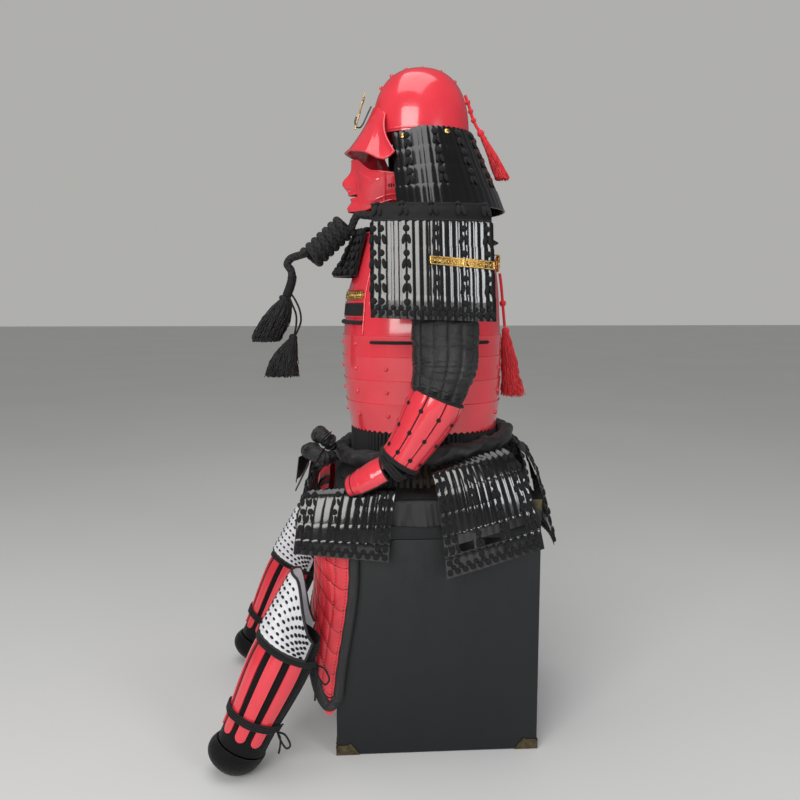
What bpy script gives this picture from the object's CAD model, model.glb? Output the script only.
import math

import bpy
import numpy as np
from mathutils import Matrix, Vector


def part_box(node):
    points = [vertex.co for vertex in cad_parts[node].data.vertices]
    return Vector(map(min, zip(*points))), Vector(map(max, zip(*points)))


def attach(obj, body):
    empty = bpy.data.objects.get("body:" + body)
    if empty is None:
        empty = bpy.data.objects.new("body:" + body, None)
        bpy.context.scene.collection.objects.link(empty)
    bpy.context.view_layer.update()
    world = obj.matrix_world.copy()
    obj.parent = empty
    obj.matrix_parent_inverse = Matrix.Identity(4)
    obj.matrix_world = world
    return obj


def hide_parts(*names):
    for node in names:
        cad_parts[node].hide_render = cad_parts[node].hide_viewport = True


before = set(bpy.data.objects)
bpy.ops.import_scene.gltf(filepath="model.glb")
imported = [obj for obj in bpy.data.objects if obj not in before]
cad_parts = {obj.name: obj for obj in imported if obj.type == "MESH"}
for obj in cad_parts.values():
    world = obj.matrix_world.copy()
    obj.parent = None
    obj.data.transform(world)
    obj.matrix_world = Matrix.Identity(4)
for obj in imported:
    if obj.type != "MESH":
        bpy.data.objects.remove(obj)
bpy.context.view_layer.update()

# --- Camera and light ---------------------------------------------------------------------------
# The armour faces -Y and is seen from its left side, +X, a little from the front and from above.
# Large soft lamps stand round it, so that the lacquer has something to reflect.

MM = 0.001
TURN = 2 * math.pi

camera_data = bpy.data.cameras.new("camera")
camera_data.lens = 36
camera_data.sensor_width = 36
camera = bpy.data.objects.new("camera", camera_data)
bpy.context.scene.collection.objects.link(camera)
sideways, downward = 0.0651, 0.1219
looking = Vector((-math.cos(sideways) * math.cos(downward),
                  math.sin(sideways) * math.cos(downward), -math.sin(downward)))
camera.location = (1.775, -0.181, 0.935)
camera.rotation_euler = looking.to_track_quat("-Z", "Y").to_euler()
bpy.context.scene.camera = camera
bpy.context.scene.view_settings.view_transform = "Standard"


def lamp(name, place, size, power, tint=(1, 1, 1)):
    """A soft square lamp that shines at the armour's middle."""
    data = bpy.data.lights.new(name, "AREA")
    data.size = size
    data.energy = power
    data.color = tint
    held = bpy.data.objects.new(name, data)
    held.location = place
    held.rotation_euler = (Vector((0, 0, 0.75)) - held.location).to_track_quat("-Z", "Y").to_euler()
    bpy.context.scene.collection.objects.link(held)


lamp("window", (3.1, -1.5, 1.9), 2.1, 88, (1.0, 0.99, 0.97))
lamp("door", (3.0, 1.9, 1.5), 1.0, 30, (0.95, 0.97, 1.0))
lamp("ceiling", (0.6, -0.4, 3.6), 2.4, 42)


# --- The wound rope -----------------------------------------------------------------------------
# One braided black rope of 17 mm: it comes round the neck, is wound in tight turns round itself
# in front of the throat, makes a short loop under the turns, and ends whipped above its tassels.

def catmull(table, v):
    """The row of a table at v, from 0 to 1, on a smooth curve through its evenly spread rows."""
    table = np.asarray(table, float)
    s = np.clip(v, 0, 0.99999) * (len(table) - 1)
    i = np.floor(s).astype(int)
    t = (s - i)[..., None]
    a, b, c, d = (table[np.clip(i + k, 0, len(table) - 1)] for k in (-1, 0, 1, 2))
    return (b * (2 * t**3 - 3 * t**2 + 1) + (c - a) / 2 * (t**3 - 2 * t**2 + t)
            + c * (3 * t**2 - 2 * t**3) + (d - b) / 2 * (t**3 - t**2))


def unit(vectors):
    return vectors / np.maximum(np.linalg.norm(vectors, axis=-1, keepdims=True), 1e-12)


def run_along(path):
    """The distance from a path's start to each of its points."""
    return np.concatenate([[0], np.cumsum(np.linalg.norm(np.diff(path, axis=0), axis=1))])


def smooth_path(points, step):
    """Points every STEP on one smooth curve through POINTS."""
    fine = catmull(points, np.linspace(0, 1, 40 * len(points)))
    run = run_along(fine)
    marks = np.linspace(0, run[-1], max(3, round(run[-1] / step) + 1))
    return np.stack([np.interp(marks, run, fine[:, k]) for k in range(3)], -1)


def lattice(columns, rows, wrap_u=False, wrap_v=False):
    """The quads of a grid of points [column][row], and the same quads in a grid one wider."""
    i, j = np.meshgrid(np.arange(columns - (not wrap_u)), np.arange(rows - (not wrap_v)),
                       indexing="ij")
    corners = [(i, j), (i + 1, j), (i + 1, j + 1), (i, j + 1)]
    quads = np.stack([(a % columns) * rows + b % rows for a, b in corners], -1)
    marks = np.stack([a * (rows + 1) + b for a, b in corners], -1)
    return quads.reshape(-1, 4), marks.reshape(-1, 4)


def placed(name, data):
    """A new object in the scene."""
    obj = bpy.data.objects.new(name, data)
    bpy.context.scene.collection.objects.link(obj)
    return obj


class Piece:
    """Gathers the closed shells of one piece and makes them one object. SIDE -1 mirrors it."""

    def __init__(self, side=1, back=0.0):
        self.flip = np.array([side, 1.0, 1.0])
        self.shift = np.array([0.0, back, 0.0])
        self.points, self.faces, self.marks, self.skins = [], [], [], []
        self.total = 0

    def shell(self, points, faces, marks, skin=0, closed=True):
        """FACES are arrays of corners, and MARKS the same corners' places in the cloth."""
        points = np.asarray(points, float).reshape(-1, 3) * self.flip + self.shift
        volume = 0.0
        for face in faces:
            first = points[face[:, 0]]
            for k in range(1, face.shape[1] - 1):
                cross = np.cross(points[face[:, k]], points[face[:, k + 1]])
                volume += float(np.einsum("ij,ij->", first, cross))
        turn = volume < 0 if closed else self.flip[0] < 0
        for face, mark in zip(faces, marks):
            if turn:
                face, mark = face[:, ::-1], mark[:, ::-1]
            self.faces += (face + self.total).tolist()
            self.marks.append(mark.reshape(-1, 2))
            self.skins += [skin] * len(face)
        self.points.append(points)
        self.total += len(points)

    def make(self, name, finish, *nodes, second=None, slot=None, sharp=45):
        """Makes the piece, which stands for CAD nodes, with its finish and perhaps a second one."""
        mesh = bpy.data.meshes.new(name)
        mesh.from_pydata(np.concatenate(self.points), [], self.faces)
        layer = mesh.uv_layers.new(name="uv")
        layer.data.foreach_set("uv", np.concatenate(self.marks).astype(np.float32).ravel())
        for used in (finish, second) if second else (finish,):
            mesh.materials.append(used.material)
        mesh.polygons.foreach_set("material_index", self.skins)
        mesh.polygons.foreach_set("use_smooth", [True] * len(self.faces))
        mesh.set_sharp_from_angle(angle=math.radians(sharp))
        mesh.update()
        return keep(placed(name, mesh), slot or finish.slot, *nodes)


def tube(piece, grid, across, along, ring=False, skin=0):
    """Adds a closed tube from its rings of points. ACROSS and ALONG are their places in the cloth."""
    count, sides = grid.shape[:2]
    quads, marks = lattice(count, sides, ring, True)
    places = np.stack(np.broadcast_arrays(across[None], along[:, None]), -1).reshape(-1, 2)
    faces, spots = [quads], [places[marks]]
    if not ring:
        faces.append(np.array([np.arange(sides)[::-1], (count - 1) * sides + np.arange(sides)]))
        spots.append(np.zeros((2, sides, 2)))
    piece.shell(grid, faces, spots, skin)


def sweep(piece, path, radius, sides=12, relief=None, ring=False, squash=1.0, skin=0):
    """Adds a cord along PATH. RELIEF raises its skin by distance along it and angle round it."""
    path = np.asarray(path, float)
    count = len(path)
    after = np.roll(path, -1, 0) if ring else np.vstack([path[1:], 2 * path[-1:] - path[-2:-1]])
    before = np.roll(path, 1, 0) if ring else np.vstack([2 * path[:1] - path[1:2], path[:-1]])
    ahead = unit(after - before)
    across = np.empty_like(path)
    start = np.cross(ahead[0], (0.31, 0.2, 0.93))
    for k in range(count):
        start = start - ahead[k] * start.dot(ahead[k])
        start /= np.linalg.norm(start)
        across[k] = start
    lift = np.cross(ahead, across)
    angle = np.linspace(0, TURN, sides, endpoint=False)
    run = run_along(path)
    if ring:
        slip = math.atan2(np.cross(across[0], across[-1]).dot(ahead[0]), across[0].dot(across[-1]))
        turned = angle[None] - slip * (run / run[-1])[:, None]
    else:
        turned = np.repeat(angle[None], count, 0)
    reach = np.broadcast_to(np.asarray(radius, float).reshape(-1, 1), (count, 1)) + np.zeros(sides)
    if relief is not None:
        reach = reach + relief(run[:, None], angle[None])
    grid = (path[:, None] + (reach * np.cos(turned))[..., None] * across[:, None]
            + (squash * reach * np.sin(turned))[..., None] * lift[:, None])
    lengths = np.append(run, run[-1] + np.linalg.norm(path[0] - path[-1]))
    tube(piece, grid, np.linspace(0, 1, sides + 1), lengths, ring, skin)


class Signal:
    """A shader socket for sums in Python: each operator adds one Math node."""

    def __init__(self, finish, socket):
        self.finish = finish
        self.socket = socket

    def math(self, operation, *values):
        return self.finish.add("ShaderNodeMath", {"operation": operation}, dict(enumerate(values)))

    def __add__(self, other):
        return self.math("ADD", self, other)

    def __sub__(self, other):
        return self.math("SUBTRACT", self, other)

    def __rsub__(self, other):
        return self.math("SUBTRACT", other, self)

    def __mul__(self, other):
        return self.math("MULTIPLY", self, other)

    def sine(self):
        return self.math("SINE", self)
    def highest(self, other):
        return self.math("MAXIMUM", self, other)

    __radd__ = __add__
    __rmul__ = __mul__


class Finish:
    """One surface finish: a material whose nodes are added in the order they are written."""

    def __init__(self, name, slot, **shader):
        self.slot = slot
        self.material = bpy.data.materials.new(name)
        self.material.use_nodes = True
        self.tree = self.material.node_tree
        self.shader = self.tree.nodes["Principled BSDF"]
        for key, value in shader.items():
            socket = key.replace("_", " ").title().replace("Ior", "IOR")
            self.shader.inputs[socket].default_value = value

    def add(self, kind, settings=None, inputs=None, out=0):
        node = self.tree.nodes.new(kind)
        for key, value in (settings or {}).items():
            if key == "stops":
                ramp = node.color_ramp.elements
                while len(ramp) < len(value):
                    ramp.new(0.5)
                for stop, (place, colour) in zip(ramp, value):
                    stop.position = place
                    stop.color = (*colour, 1)
            else:
                setattr(node, key, value)
        for key, value in (inputs or {}).items():
            if isinstance(value, Signal):
                self.tree.links.new(value.socket, node.inputs[key])
            elif value is not None:
                node.inputs[key].default_value = value
        return Signal(self, node.outputs[out])

    def place(self):
        """Places in the piece's own space, in metres."""
        return self.add("ShaderNodeTexCoord", out="Object")

    def cloth(self):
        """Places along and across the cloth or the cord, from the piece's UV map."""
        marks = self.add("ShaderNodeUVMap", {"uv_map": "uv"})
        split = self.add("ShaderNodeSeparateXYZ", inputs={0: marks})
        return split, Signal(self, split.socket.node.outputs[1])

    def noise(self, scale, detail=3.0, stretch=(1, 1, 1)):
        spot = self.place()
        if stretch != (1, 1, 1):
            spot = self.add("ShaderNodeMapping", inputs={"Vector": spot, "Scale": stretch})
        return self.add("ShaderNodeTexNoise", inputs={"Vector": spot, "Scale": scale,
                                                      "Detail": detail})

    def dress(self, shade, low, high, rough, height=None, distance=0.0, strength=1.0):
        """Colour between LOW and HIGH by SHADE, roughness, and bumps DISTANCE deep by HEIGHT."""
        fed = {"Roughness": rough}
        fed["Base Color"] = self.add("ShaderNodeMix", {"data_type": "RGBA"},
                                     {0: shade, 6: (*low, 1), 7: (*high, 1)}, out=2)
        if height is not None:
            fed["Normal"] = self.add("ShaderNodeBump", inputs={
                "Height": height, "Distance": distance, "Strength": strength})
        for key, signal in fed.items():
            self.tree.links.new(signal.socket, self.shader.inputs[key])


def braided(name, slot, low, high, strands, pitch, depth=0.0006):
    """Braided cord: two sets of strands cross round it, STRANDS each way, a turn every PITCH."""
    finish = Finish(name, slot, specular_ior_level=0.35, sheen_weight=0.06, sheen_roughness=0.5)
    around, along = finish.cloth()
    one = (around * (TURN * strands) + along * (TURN * strands / pitch)).sine()
    other = (around * (TURN * strands) - along * (TURN * strands / pitch)).sine()
    weave = one.highest(other) * 0.5 + 0.5
    fuzz = finish.noise(900, 2)
    finish.dress(weave * 0.8 + fuzz * 0.3, low, high, fuzz * 0.2 + 0.62, weave + fuzz * 0.25, depth)
    return finish


def keep(obj, slot, *replaced):
    """The piece rides on the armour, takes its finish from a slot, and stands for CAD nodes."""
    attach(obj, "root")
    if replaced:
        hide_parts(*replaced)
    return obj


def tell_cord(cord, path, diameter, stiffness, lay, **more):
    tuple(path[0])
    round(float(run_along(path)[-1]), 3)


ROPE = {"radius": 8.4 * MM, "coil": 20.6 * MM, "turns": 7, "pitch": 16.2 * MM, "first_angle": 0.35,
        "strands": 4, "lay": 52 * MM, "ridge": 0.5 * MM}
BLACK_LOW, BLACK_HIGH = (0.0008, 0.0008, 0.001), (0.0075, 0.0075, 0.0085)
rope_braid = braided("black_rope", "black_lacing", BLACK_LOW, (0.013, 0.013, 0.015),
                     ROPE["strands"], ROPE["lay"], 0.0012)
knot_start = np.array([0, -178, 1106]) * MM
knot_end = np.array([0, -272, 1019]) * MM
knot_axis = unit(knot_end - knot_start)
wound = np.linspace(0, ROPE["turns"], ROPE["turns"] * 28 + 1)[:, None]
angle = ROPE["first_angle"] + TURN * wound
coil = (knot_start + knot_axis * (4 * MM + ROPE["pitch"] * wound)
        + ROPE["coil"] * (np.cos(angle) * (1, 0, 0)
                          - np.sin(angle) * np.cross(knot_axis, (1, 0, 0))))
from_neck = np.array([(54, -96, 1112), (46, -118, 1115), (36, -140, 1118), (27, -159, 1118)]) * MM
to_tail = np.array([(2, -283, 1036), (-2, -303, 1029), (-2, -311, 1016), (-1, -303, 1003),
                    (0, -301, 985), (0, -306, 967), (0, -313, 949)]) * MM
rope_path = smooth_path(np.vstack([from_neck, coil[2:-3:3], to_tail]), 2.4 * MM)


def strands(run, angle):
    """Low ridges of the braid, crossing both ways round the rope."""
    turn = TURN * ROPE["strands"] * run / ROPE["lay"]
    around = ROPE["strands"] * angle
    return ROPE["ridge"] * (np.maximum(np.sin(around + turn), np.sin(around - turn)) - 0.5)


rope = Piece()
sweep(rope, rope_path, ROPE["radius"], 32, strands)
rope = rope.make("wound_rope", rope_braid, "rope_neck", "rope_knot", "rope_tail")


def round_hoop(middle, axis, reach):
    """A ring of points round an axis."""
    angle = np.linspace(0, TURN, 24, endpoint=False)[:, None]
    return middle + reach * (np.cos(angle) * (1.0, 0, 0)
                             + np.sin(angle) * unit(np.cross(axis, (1, 0, 0))))


# The whipping at the rope's end, and the fine cord that carries the lower tassel in two strands.
fine_braid = braided("black_fine_cord", "black_lacing", BLACK_LOW, BLACK_HIGH, 3, 0.012, 0.0004)
whipping = Piece()
for drop in range(1, 20):
    middle = rope_path[-drop]
    sweep(whipping, round_hoop(middle, rope_path[-drop - 1] - middle, 8.8 * MM), 1.4 * MM, 8,
          ring=True)
for strand in ([(3, -310, 952), (8, -302, 932), (12, -293, 908), (11, -293, 886), (7, -297, 866),
                (4, -300, 856)],
               [(2, -306, 956), (4, -294, 938), (5, -285, 916), (5, -283, 894), (6, -289, 876),
                (5, -297, 860)]):
    sweep(whipping, smooth_path(np.array(strand) * MM, 3 * MM), 2.2 * MM, 10)
whipping.make("rope_whipping", fine_braid)


# --- Tassels ------------------------------------------------------------------------------------
# Each is a bundle of loose silk threads, bound under a small round head and hung by its cord.
# Two black ones end the rope. Red ones hang at the back of the helmet and of the cuirass.

def grow(name, mesh, build, inputs, finish):
    """Runs a Geometry Nodes tree that BUILD fills on a mesh, and returns its result as an object."""
    tree = bpy.data.node_groups.new(name, "GeometryNodeTree")
    tree.interface.new_socket("Geometry", in_out="INPUT", socket_type="NodeSocketGeometry")
    tree.interface.new_socket("Geometry", in_out="OUTPUT", socket_type="NodeSocketGeometry")
    named = {}
    for key, value in inputs.items():
        kind = "NodeSocketInt" if isinstance(value, int) else "NodeSocketFloat"
        named[key] = tree.interface.new_socket(key, in_out="INPUT", socket_type=kind).identifier

    def node(kind, settings=None, links=None, out=0):
        made = tree.nodes.new(kind)
        for key, value in (settings or {}).items():
            setattr(made, key, value)
        for key, value in (links or {}).items():
            if isinstance(value, bpy.types.NodeSocket):
                tree.links.new(value, made.inputs[key])
            else:
                made.inputs[key].default_value = value
        return made.outputs[out]

    source = tree.nodes.new("NodeGroupInput")
    grown = build(node, source.outputs)
    real = node("GeometryNodeRealizeInstances", links={0: grown})
    coated = node("GeometryNodeSetMaterial", links={0: real, "Material": finish.material})
    sink = tree.nodes.new("NodeGroupOutput")
    tree.links.new(coated, sink.inputs[0])
    seedling = placed(name, mesh)
    modifier = seedling.modifiers.new("grow", "NODES")
    modifier.node_group = tree
    for key, value in inputs.items():
        modifier[named[key]] = value
    bpy.context.view_layer.update()
    found = seedling.evaluated_get(bpy.context.evaluated_depsgraph_get())
    result = bpy.data.meshes.new_from_object(found)
    seedling.modifiers.clear()
    seedling.data = result
    seedling.data.name = name
    bpy.data.node_groups.remove(tree)
    return seedling


def thread_tree(node, given):
    """Turns each line of the mesh into a soft thread with a three-sided section."""
    line = node("GeometryNodeMeshToCurve", links={0: given["Geometry"]})
    section = node("GeometryNodeCurvePrimitiveCircle", links={"Resolution": given["Sides"],
                                                              "Radius": given["Thread"]})
    tubes = node("GeometryNodeCurveToMesh", links={"Curve": line, "Profile Curve": section,
                                                   "Fill Caps": True})
    return node("GeometryNodeSetShadeSmooth", links={0: tubes})


def floss(name, slot, low, high):
    """Loose silk thread, a little lighter and darker from strand to strand."""
    finish = Finish(name, slot, specular_ior_level=0.4, sheen_weight=0.08, sheen_roughness=0.4)
    strand = finish.noise(260, 2, (1, 1, 0.12))
    finish.dress(strand * 1.6 - 0.3, low, high, strand * 0.2 + 0.45, strand, 0.0005)
    return finish


def tassel(name, rows, threads, thread, wild, binding, silk, seed):
    """ROWS give its middle and half width from its foot to its head, where BINDING ties it."""
    thread_silk, cord_silk = silk
    draw = np.random.default_rng(seed)
    rows = np.asarray(rows, float) * MM
    steps = 11
    share = np.sqrt(draw.uniform(0.02, 1, threads))
    angle = draw.uniform(0, TURN, threads)
    foot = draw.uniform(-0.03, 0.1, threads)
    v = np.linspace(0, 1, steps)[None] * (0.985 - foot[:, None]) + foot[:, None]
    row = catmull(rows, v)
    row[..., :3] += np.clip(-v, 0, 1)[..., None] * (rows[0, :3] - rows[1, :3]) * 4
    loose = np.clip(1 - v, 0, 1) ** 0.8
    wave = wild * MM * loose
    phase = draw.uniform(0, TURN, (2, threads, 1))
    pace = draw.uniform(1.5, 4.5, (2, threads, 1))
    turned = angle[:, None] + 0.25 * loose * draw.normal(0, 1, (threads, 1))
    reach = row[..., 3] * share[:, None] * (1 - 0.06 * draw.uniform(0, 1, (threads, 1)))
    points = row[..., :3].copy()
    points[..., 0] += reach * np.cos(turned) + wave * np.sin(phase[0] + TURN * pace[0] * v)
    points[..., 1] += reach * np.sin(turned) + wave * np.sin(phase[1] + TURN * pace[1] * v)
    flat = points.reshape(-1, 3)
    index = np.arange(threads * steps).reshape(threads, steps)
    edges = np.stack([index[:, :-1], index[:, 1:]], -1).reshape(-1, 2)
    lines = bpy.data.meshes.new(name)
    lines.from_pydata(flat, edges.tolist(), [])
    made = grow(name + "_threads", lines, thread_tree, {"Thread": thread * MM, "Sides": 3},
                thread_silk)
    tassel_head(name + "_head", rows, binding, cord_silk)
    return keep(made, thread_silk.slot, name)


def tassel_head(name, rows, cord, finish):
    """The round head, and the turns of cord that bind the threads under it."""
    head = Piece()
    top, neck = rows[-1], catmull(rows, np.array(0.86))
    down = unit(neck[:3] - top[:3])
    ball = top[:3] + down[None] * np.linspace(-7, 9, 12)[:, None] * MM
    girth = (top[3] + 3.5 * MM) * np.sqrt(np.clip(1 - np.linspace(-0.96, 0.96, 12) ** 2, 0, 1))
    sweep(head, ball, girth, 20, lambda run, angle: 0.4 * MM * np.sin(9 * angle + 300 * run))
    for turn in range(4):
        hoop = round_hoop(top[:3] + down * (9 + 2.4 * turn) * MM, down,
                          top[3] + (0.8 + 0.5 * turn) * MM)
        sweep(head, hoop, cord * MM, 8, ring=True)
    head.make(name, finish)


red_cord = braided("red_cord", "red_silk", (0.3, 0.004, 0.008), (0.78, 0.03, 0.045), 3, 0.014, 0.0004)
BLACK_SILK = (floss("black_floss", "black_lacing", (0.0008, 0.0008, 0.001),
                    (0.009, 0.009, 0.0105)), fine_braid)
RED_SILK = (floss("red_floss", "red_silk", (0.42, 0.006, 0.01), (0.86, 0.045, 0.06)), red_cord)
TASSELS = {
    "rope_tassel_upper": ([(0, -361, 850, 30), (0, -354, 866, 34), (0, -342, 890, 34),
                           (0, -327, 920, 25), (0, -317, 942, 10)], 900, 1.0, 3.4, 1.5, BLACK_SILK),
    "rope_tassel_lower": ([(4, -326, 774, 37), (4, -323, 800, 32), (4, -316, 824, 24),
                           (4, -306, 846, 14), (4, -300, 858, 6)], 900, 1.0, 3.2, 1.5, BLACK_SILK),
    "helmet_tassel": ([(2, 158, 1200, 16.5), (2, 152, 1216, 15), (2, 138, 1245, 11.5),
                       (2, 121, 1277, 7.5), (2, 109, 1298, 4)], 320, 0.75, 1.6, 1.0, RED_SILK),
    "back_tassel": ([(0, 190, 728, 25), (0, 184, 770, 20), (0, 179, 810, 16), (0, 173, 850, 11),
                     (0, 171, 872, 5)], 460, 0.8, 5.0, 1.2, RED_SILK),
}
tassels = {name: tassel(name, *made, seed)
           for seed, (name, made) in enumerate(TASSELS.items(), 11)}
tell_cord(rope, rope_path, 2 * ROPE["radius"], "medium", "coiled",
          with_pieces=[tassels["rope_tassel_upper"]])


# --- Cords and ring at the back -----------------------------------------------------------------
# A gilt ring hangs on the back plate and holds a thin red cord, its bead knot and long tassel.
# Another red cord comes down the helmet's back with small knots in it and ends in a tassel.

def gilded(name, low=(0.42, 0.24, 0.05), high=(0.95, 0.7, 0.26)):
    """Gilt brass, worn a little duller in its hollows."""
    finish = Finish(name, "gilt", metallic=1.0, specular_ior_level=0.5)
    worn = finish.noise(120, 4)
    finish.dress(worn * 1.5 - 0.2, low, high, worn * 0.3 + 0.14, finish.noise(420, 3), 0.00035)
    return finish


gilt = gilded("gilt")
RING = {"radius": 15, "wire": 3, "y": 150.5, "z": 1018}
turn = np.linspace(0, TURN, 48, endpoint=False)
ring_path = np.stack([RING["radius"] * np.cos(turn), np.full(48, RING["y"]),
                      RING["z"] + RING["radius"] * np.sin(turn)], -1) * MM
ring = Piece()
sweep(ring, ring_path, RING["wire"] * MM, 14, ring=True)
for lift in (-2.0, 2.0):
    staple = [(lift, 140.5, 1037), (lift, 152, 1037), (lift, 156, 1033), (lift, 152, 1027),
              (lift, 141, 1027)]
    sweep(ring, smooth_path(np.array(staple) * MM, 1.5 * MM), 1.5 * MM, 10)
ring.make("back_ring_wire", gilt, "back_ring")


def beaded_cord(name, points, radius, knots):
    """A thin cord with round knots tied in it at shares of its length."""
    path = smooth_path(np.array(points) * MM, 2 * MM)
    run = run_along(path)
    cord = Piece()
    sweep(cord, path, radius * MM, 14)
    cord = cord.make(name + "_braid", red_cord, name)
    tied = Piece()
    for spot, size in knots:
        middle = spot * run[-1] + np.linspace(-1, 1, 14) * (size + 2.5) * MM
        route = np.stack([np.interp(middle, run, path[:, k]) for k in range(3)], -1)
        girth = (radius + size) * MM * np.sqrt(1 - np.linspace(-0.9, 0.9, 14) ** 2)
        sweep(tied, route, girth, 18, lambda t, angle: 0.35 * MM * np.sin(4 * angle + 900 * t))
    tied = tied.make(name + "_knots", red_cord)
    tell_cord(cord, path, 2 * radius * MM, "limp", "hanging", with_pieces=[tied])


beaded_cord("back_cord", [(0, 156, 998), (0, 160, 970), (0, 165, 920), (0, 169, 880)], 3.2,
            [(0.56, 4.2)])
beaded_cord("helmet_cord", [(0, 75, 1376), (2, 84, 1352), (2, 91, 1330), (2, 99, 1313),
                            (2, 106, 1303)], 3.4, [(0.2, 2.4), (0.45, 2.4), (0.7, 2.4)])


# --- Chest --------------------------------------------------------------------------------------
# A plain wooden storage box of boards, painted charcoal black, with a lid that lifts off upwards.
# Aged bronze fittings with pointed ends are nailed over the foot's and the lid's corners.

def softened(name, node, finish, width):
    """A copy of a CAD node with rounded edges."""
    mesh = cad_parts[node].data.copy()
    mesh.materials.clear()
    mesh.materials.append(finish.material)
    obj = placed(name, mesh)
    weld = obj.modifiers.new("weld", "WELD")
    weld.merge_threshold = 0.00005
    bevel = obj.modifiers.new("bevel", "BEVEL")
    bevel.width = width
    bevel.segments = 3
    bevel.limit_method = "ANGLE"
    bevel.angle_limit = math.radians(35)
    bevel.harden_normals = False
    mesh.polygons.foreach_set("use_smooth", [True] * len(mesh.polygons))
    keep(obj, finish.slot, node)


paint = Finish("chest_paint", "chest_paint", specular_ior_level=0.45)
grain = paint.noise(9, 5, (1, 1, 0.18))
scuff = paint.noise(34, 6)
paint.dress(grain * 0.7 + scuff * 0.4 - 0.1, (0.0022, 0.003, 0.0035), (0.0085, 0.0105, 0.012),
            scuff * 0.3 + 0.3, paint.noise(60, 5, (1, 1, 0.1)) + scuff * 0.3, 0.0003)
chest_low, chest_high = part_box("chest_body")
lid_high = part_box("chest_lid")[1]
for name in ("chest_body", "chest_lid"):
    softened(name + "_painted", name, paint, 0.0026)

bronze = Finish("aged_bronze", "gilt", metallic=0.85, specular_ior_level=0.4)
patina = bronze.noise(75, 6)
bronze.dress(patina * 1.8 - 0.4, (0.025, 0.022, 0.015), (0.19, 0.15, 0.085), patina * 0.3 + 0.35,
             patina + bronze.noise(500, 2) * 0.4, 0.0006)

FITTING = {"reach": 47 * MM, "height": 21 * MM, "thick": 1.3 * MM, "straight": 0.62}


def two_sided(piece, outer, inner, places, wrap=False, skin=0, capped=False):
    """Closes the space between two grids of points [column][row]. WRAP joins the last column to the
    first, a CAPPED pair is closed by one face over each last row, and PLACES are in the cloth."""
    columns, rows = outer.shape[:2]
    half = columns * rows
    quads, marks = lattice(columns, rows, wrap)
    a = np.arange(columns if wrap else columns - 1) * rows
    b = (a + rows) % half
    edges = [(b, a)] if capped else [(b, a), (a + rows - 1, b + rows - 1)]
    if not wrap:
        j, end = np.arange(rows - 1), half - rows
        edges += [(j, j + 1), (end + j + 1, end + j)]
    rims = [np.stack([p, q, q + half, p + half], -1) for p, q in edges]
    if capped:
        cap = (a + rows - 1)[None]
        rims += [cap, cap[:, ::-1] + half]
    near = places[:columns].reshape(-1, 2)
    wide = np.pad(places, ((0, columns + 1 - len(places)), (0, 1), (0, 0)), "edge").reshape(-1, 2)
    piece.shell(np.stack([outer, inner]), [quads, quads[:, ::-1] + half] + rims,
                [wide[marks], wide[marks[:, ::-1]]] + [near[rim % half] for rim in rims], skin)


def corner_fitting(piece, corner, inward, up):
    """A bent plate round one corner: on each face it runs inward and ends in a pointed curve."""
    steps = np.linspace(0, 1, 21)
    along = FITTING["reach"] * steps - FITTING["thick"] * (steps == 0)
    curve = ((steps - FITTING["straight"]) / (1 - FITTING["straight"])).clip(0) ** 1.4
    high = FITTING["height"] * np.clip(1 - curve, 0.02, 1)
    high = high * (1 + 0.16 * np.exp(-((steps - 0.6) / 0.07) ** 2))
    for axis in (0, 1):
        grids = np.zeros((2, 21, 5, 3)) + corner
        grids[..., axis] += (inward[axis] * along)[:, None]
        grids[0, ..., 1 - axis] -= inward[1 - axis] * FITTING["thick"]
        grids[..., 2] += up * high[:, None] * np.linspace(0, 1, 5)
        two_sided(piece, *grids, np.zeros((21, 5, 2)))


def bead_tree(node, given):
    """Sets a round bead on each point, turned to its 'out' and 'along' directions."""
    ball = node("GeometryNodeMeshIcoSphere", links={"Radius": 1.0,
                                                    "Subdivisions": given["Roundness"]})
    size = node("ShaderNodeCombineXYZ", links={0: given["Width"], 1: given["Length"],
                                               2: given["Height"]})
    bead = node("GeometryNodeTransform", links={0: ball, "Scale": size})
    bead = node("GeometryNodeSetShadeSmooth", links={0: bead})
    return strewn(node, given, bead)


def hoop_tree(node, given):
    """Sets a small wire hoop flat on each point."""
    line = node("GeometryNodeCurvePrimitiveCircle", links={"Resolution": 14,
                                                           "Radius": given["Width"]})
    section = node("GeometryNodeCurvePrimitiveCircle", links={"Resolution": 6,
                                                              "Radius": given["Height"]})
    wire = node("GeometryNodeCurveToMesh", links={"Curve": line, "Profile Curve": section})
    wire = node("GeometryNodeSetShadeSmooth", links={0: wire})
    return strewn(node, given, wire)


def strewn(node, given, shape):
    """Instances of a shape on the points, a little uneven in size and turn."""
    def read(name, kind, slot=0):
        return node("GeometryNodeInputNamedAttribute", {"data_type": kind}, {"Name": name}, slot)

    uneven = node("FunctionNodeRandomValue", {"data_type": "FLOAT_VECTOR"},
                  {"Min": (-1, -1, -1), "Max": (1, 1, 1), "Seed": given["Seed"]})
    shift = node("ShaderNodeVectorMath", {"operation": "SCALE"},
                 {0: uneven, "Scale": given["Uneven"]})
    out = node("ShaderNodeVectorMath", {"operation": "ADD"},
               {0: read("out", "FLOAT_VECTOR"), 1: shift})
    facing = node("FunctionNodeAlignRotationToVector", {"axis": "Z"}, {"Vector": out})
    turned = node("FunctionNodeAlignRotationToVector", {"axis": "Y", "pivot_axis": "Z"},
                  {"Rotation": facing, "Vector": read("along", "FLOAT_VECTOR")})
    scale = node("ShaderNodeVectorMath", {"operation": "ADD"}, {0: (1, 1, 1), 1: shift})
    sized = node("ShaderNodeVectorMath", {"operation": "SCALE"},
                 {0: scale, "Scale": read("size", "FLOAT")})
    return node("GeometryNodeInstanceOnPoints", links={"Points": given["Geometry"],
                                                       "Instance": shape, "Rotation": turned,
                                                       "Scale": sized})


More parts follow.
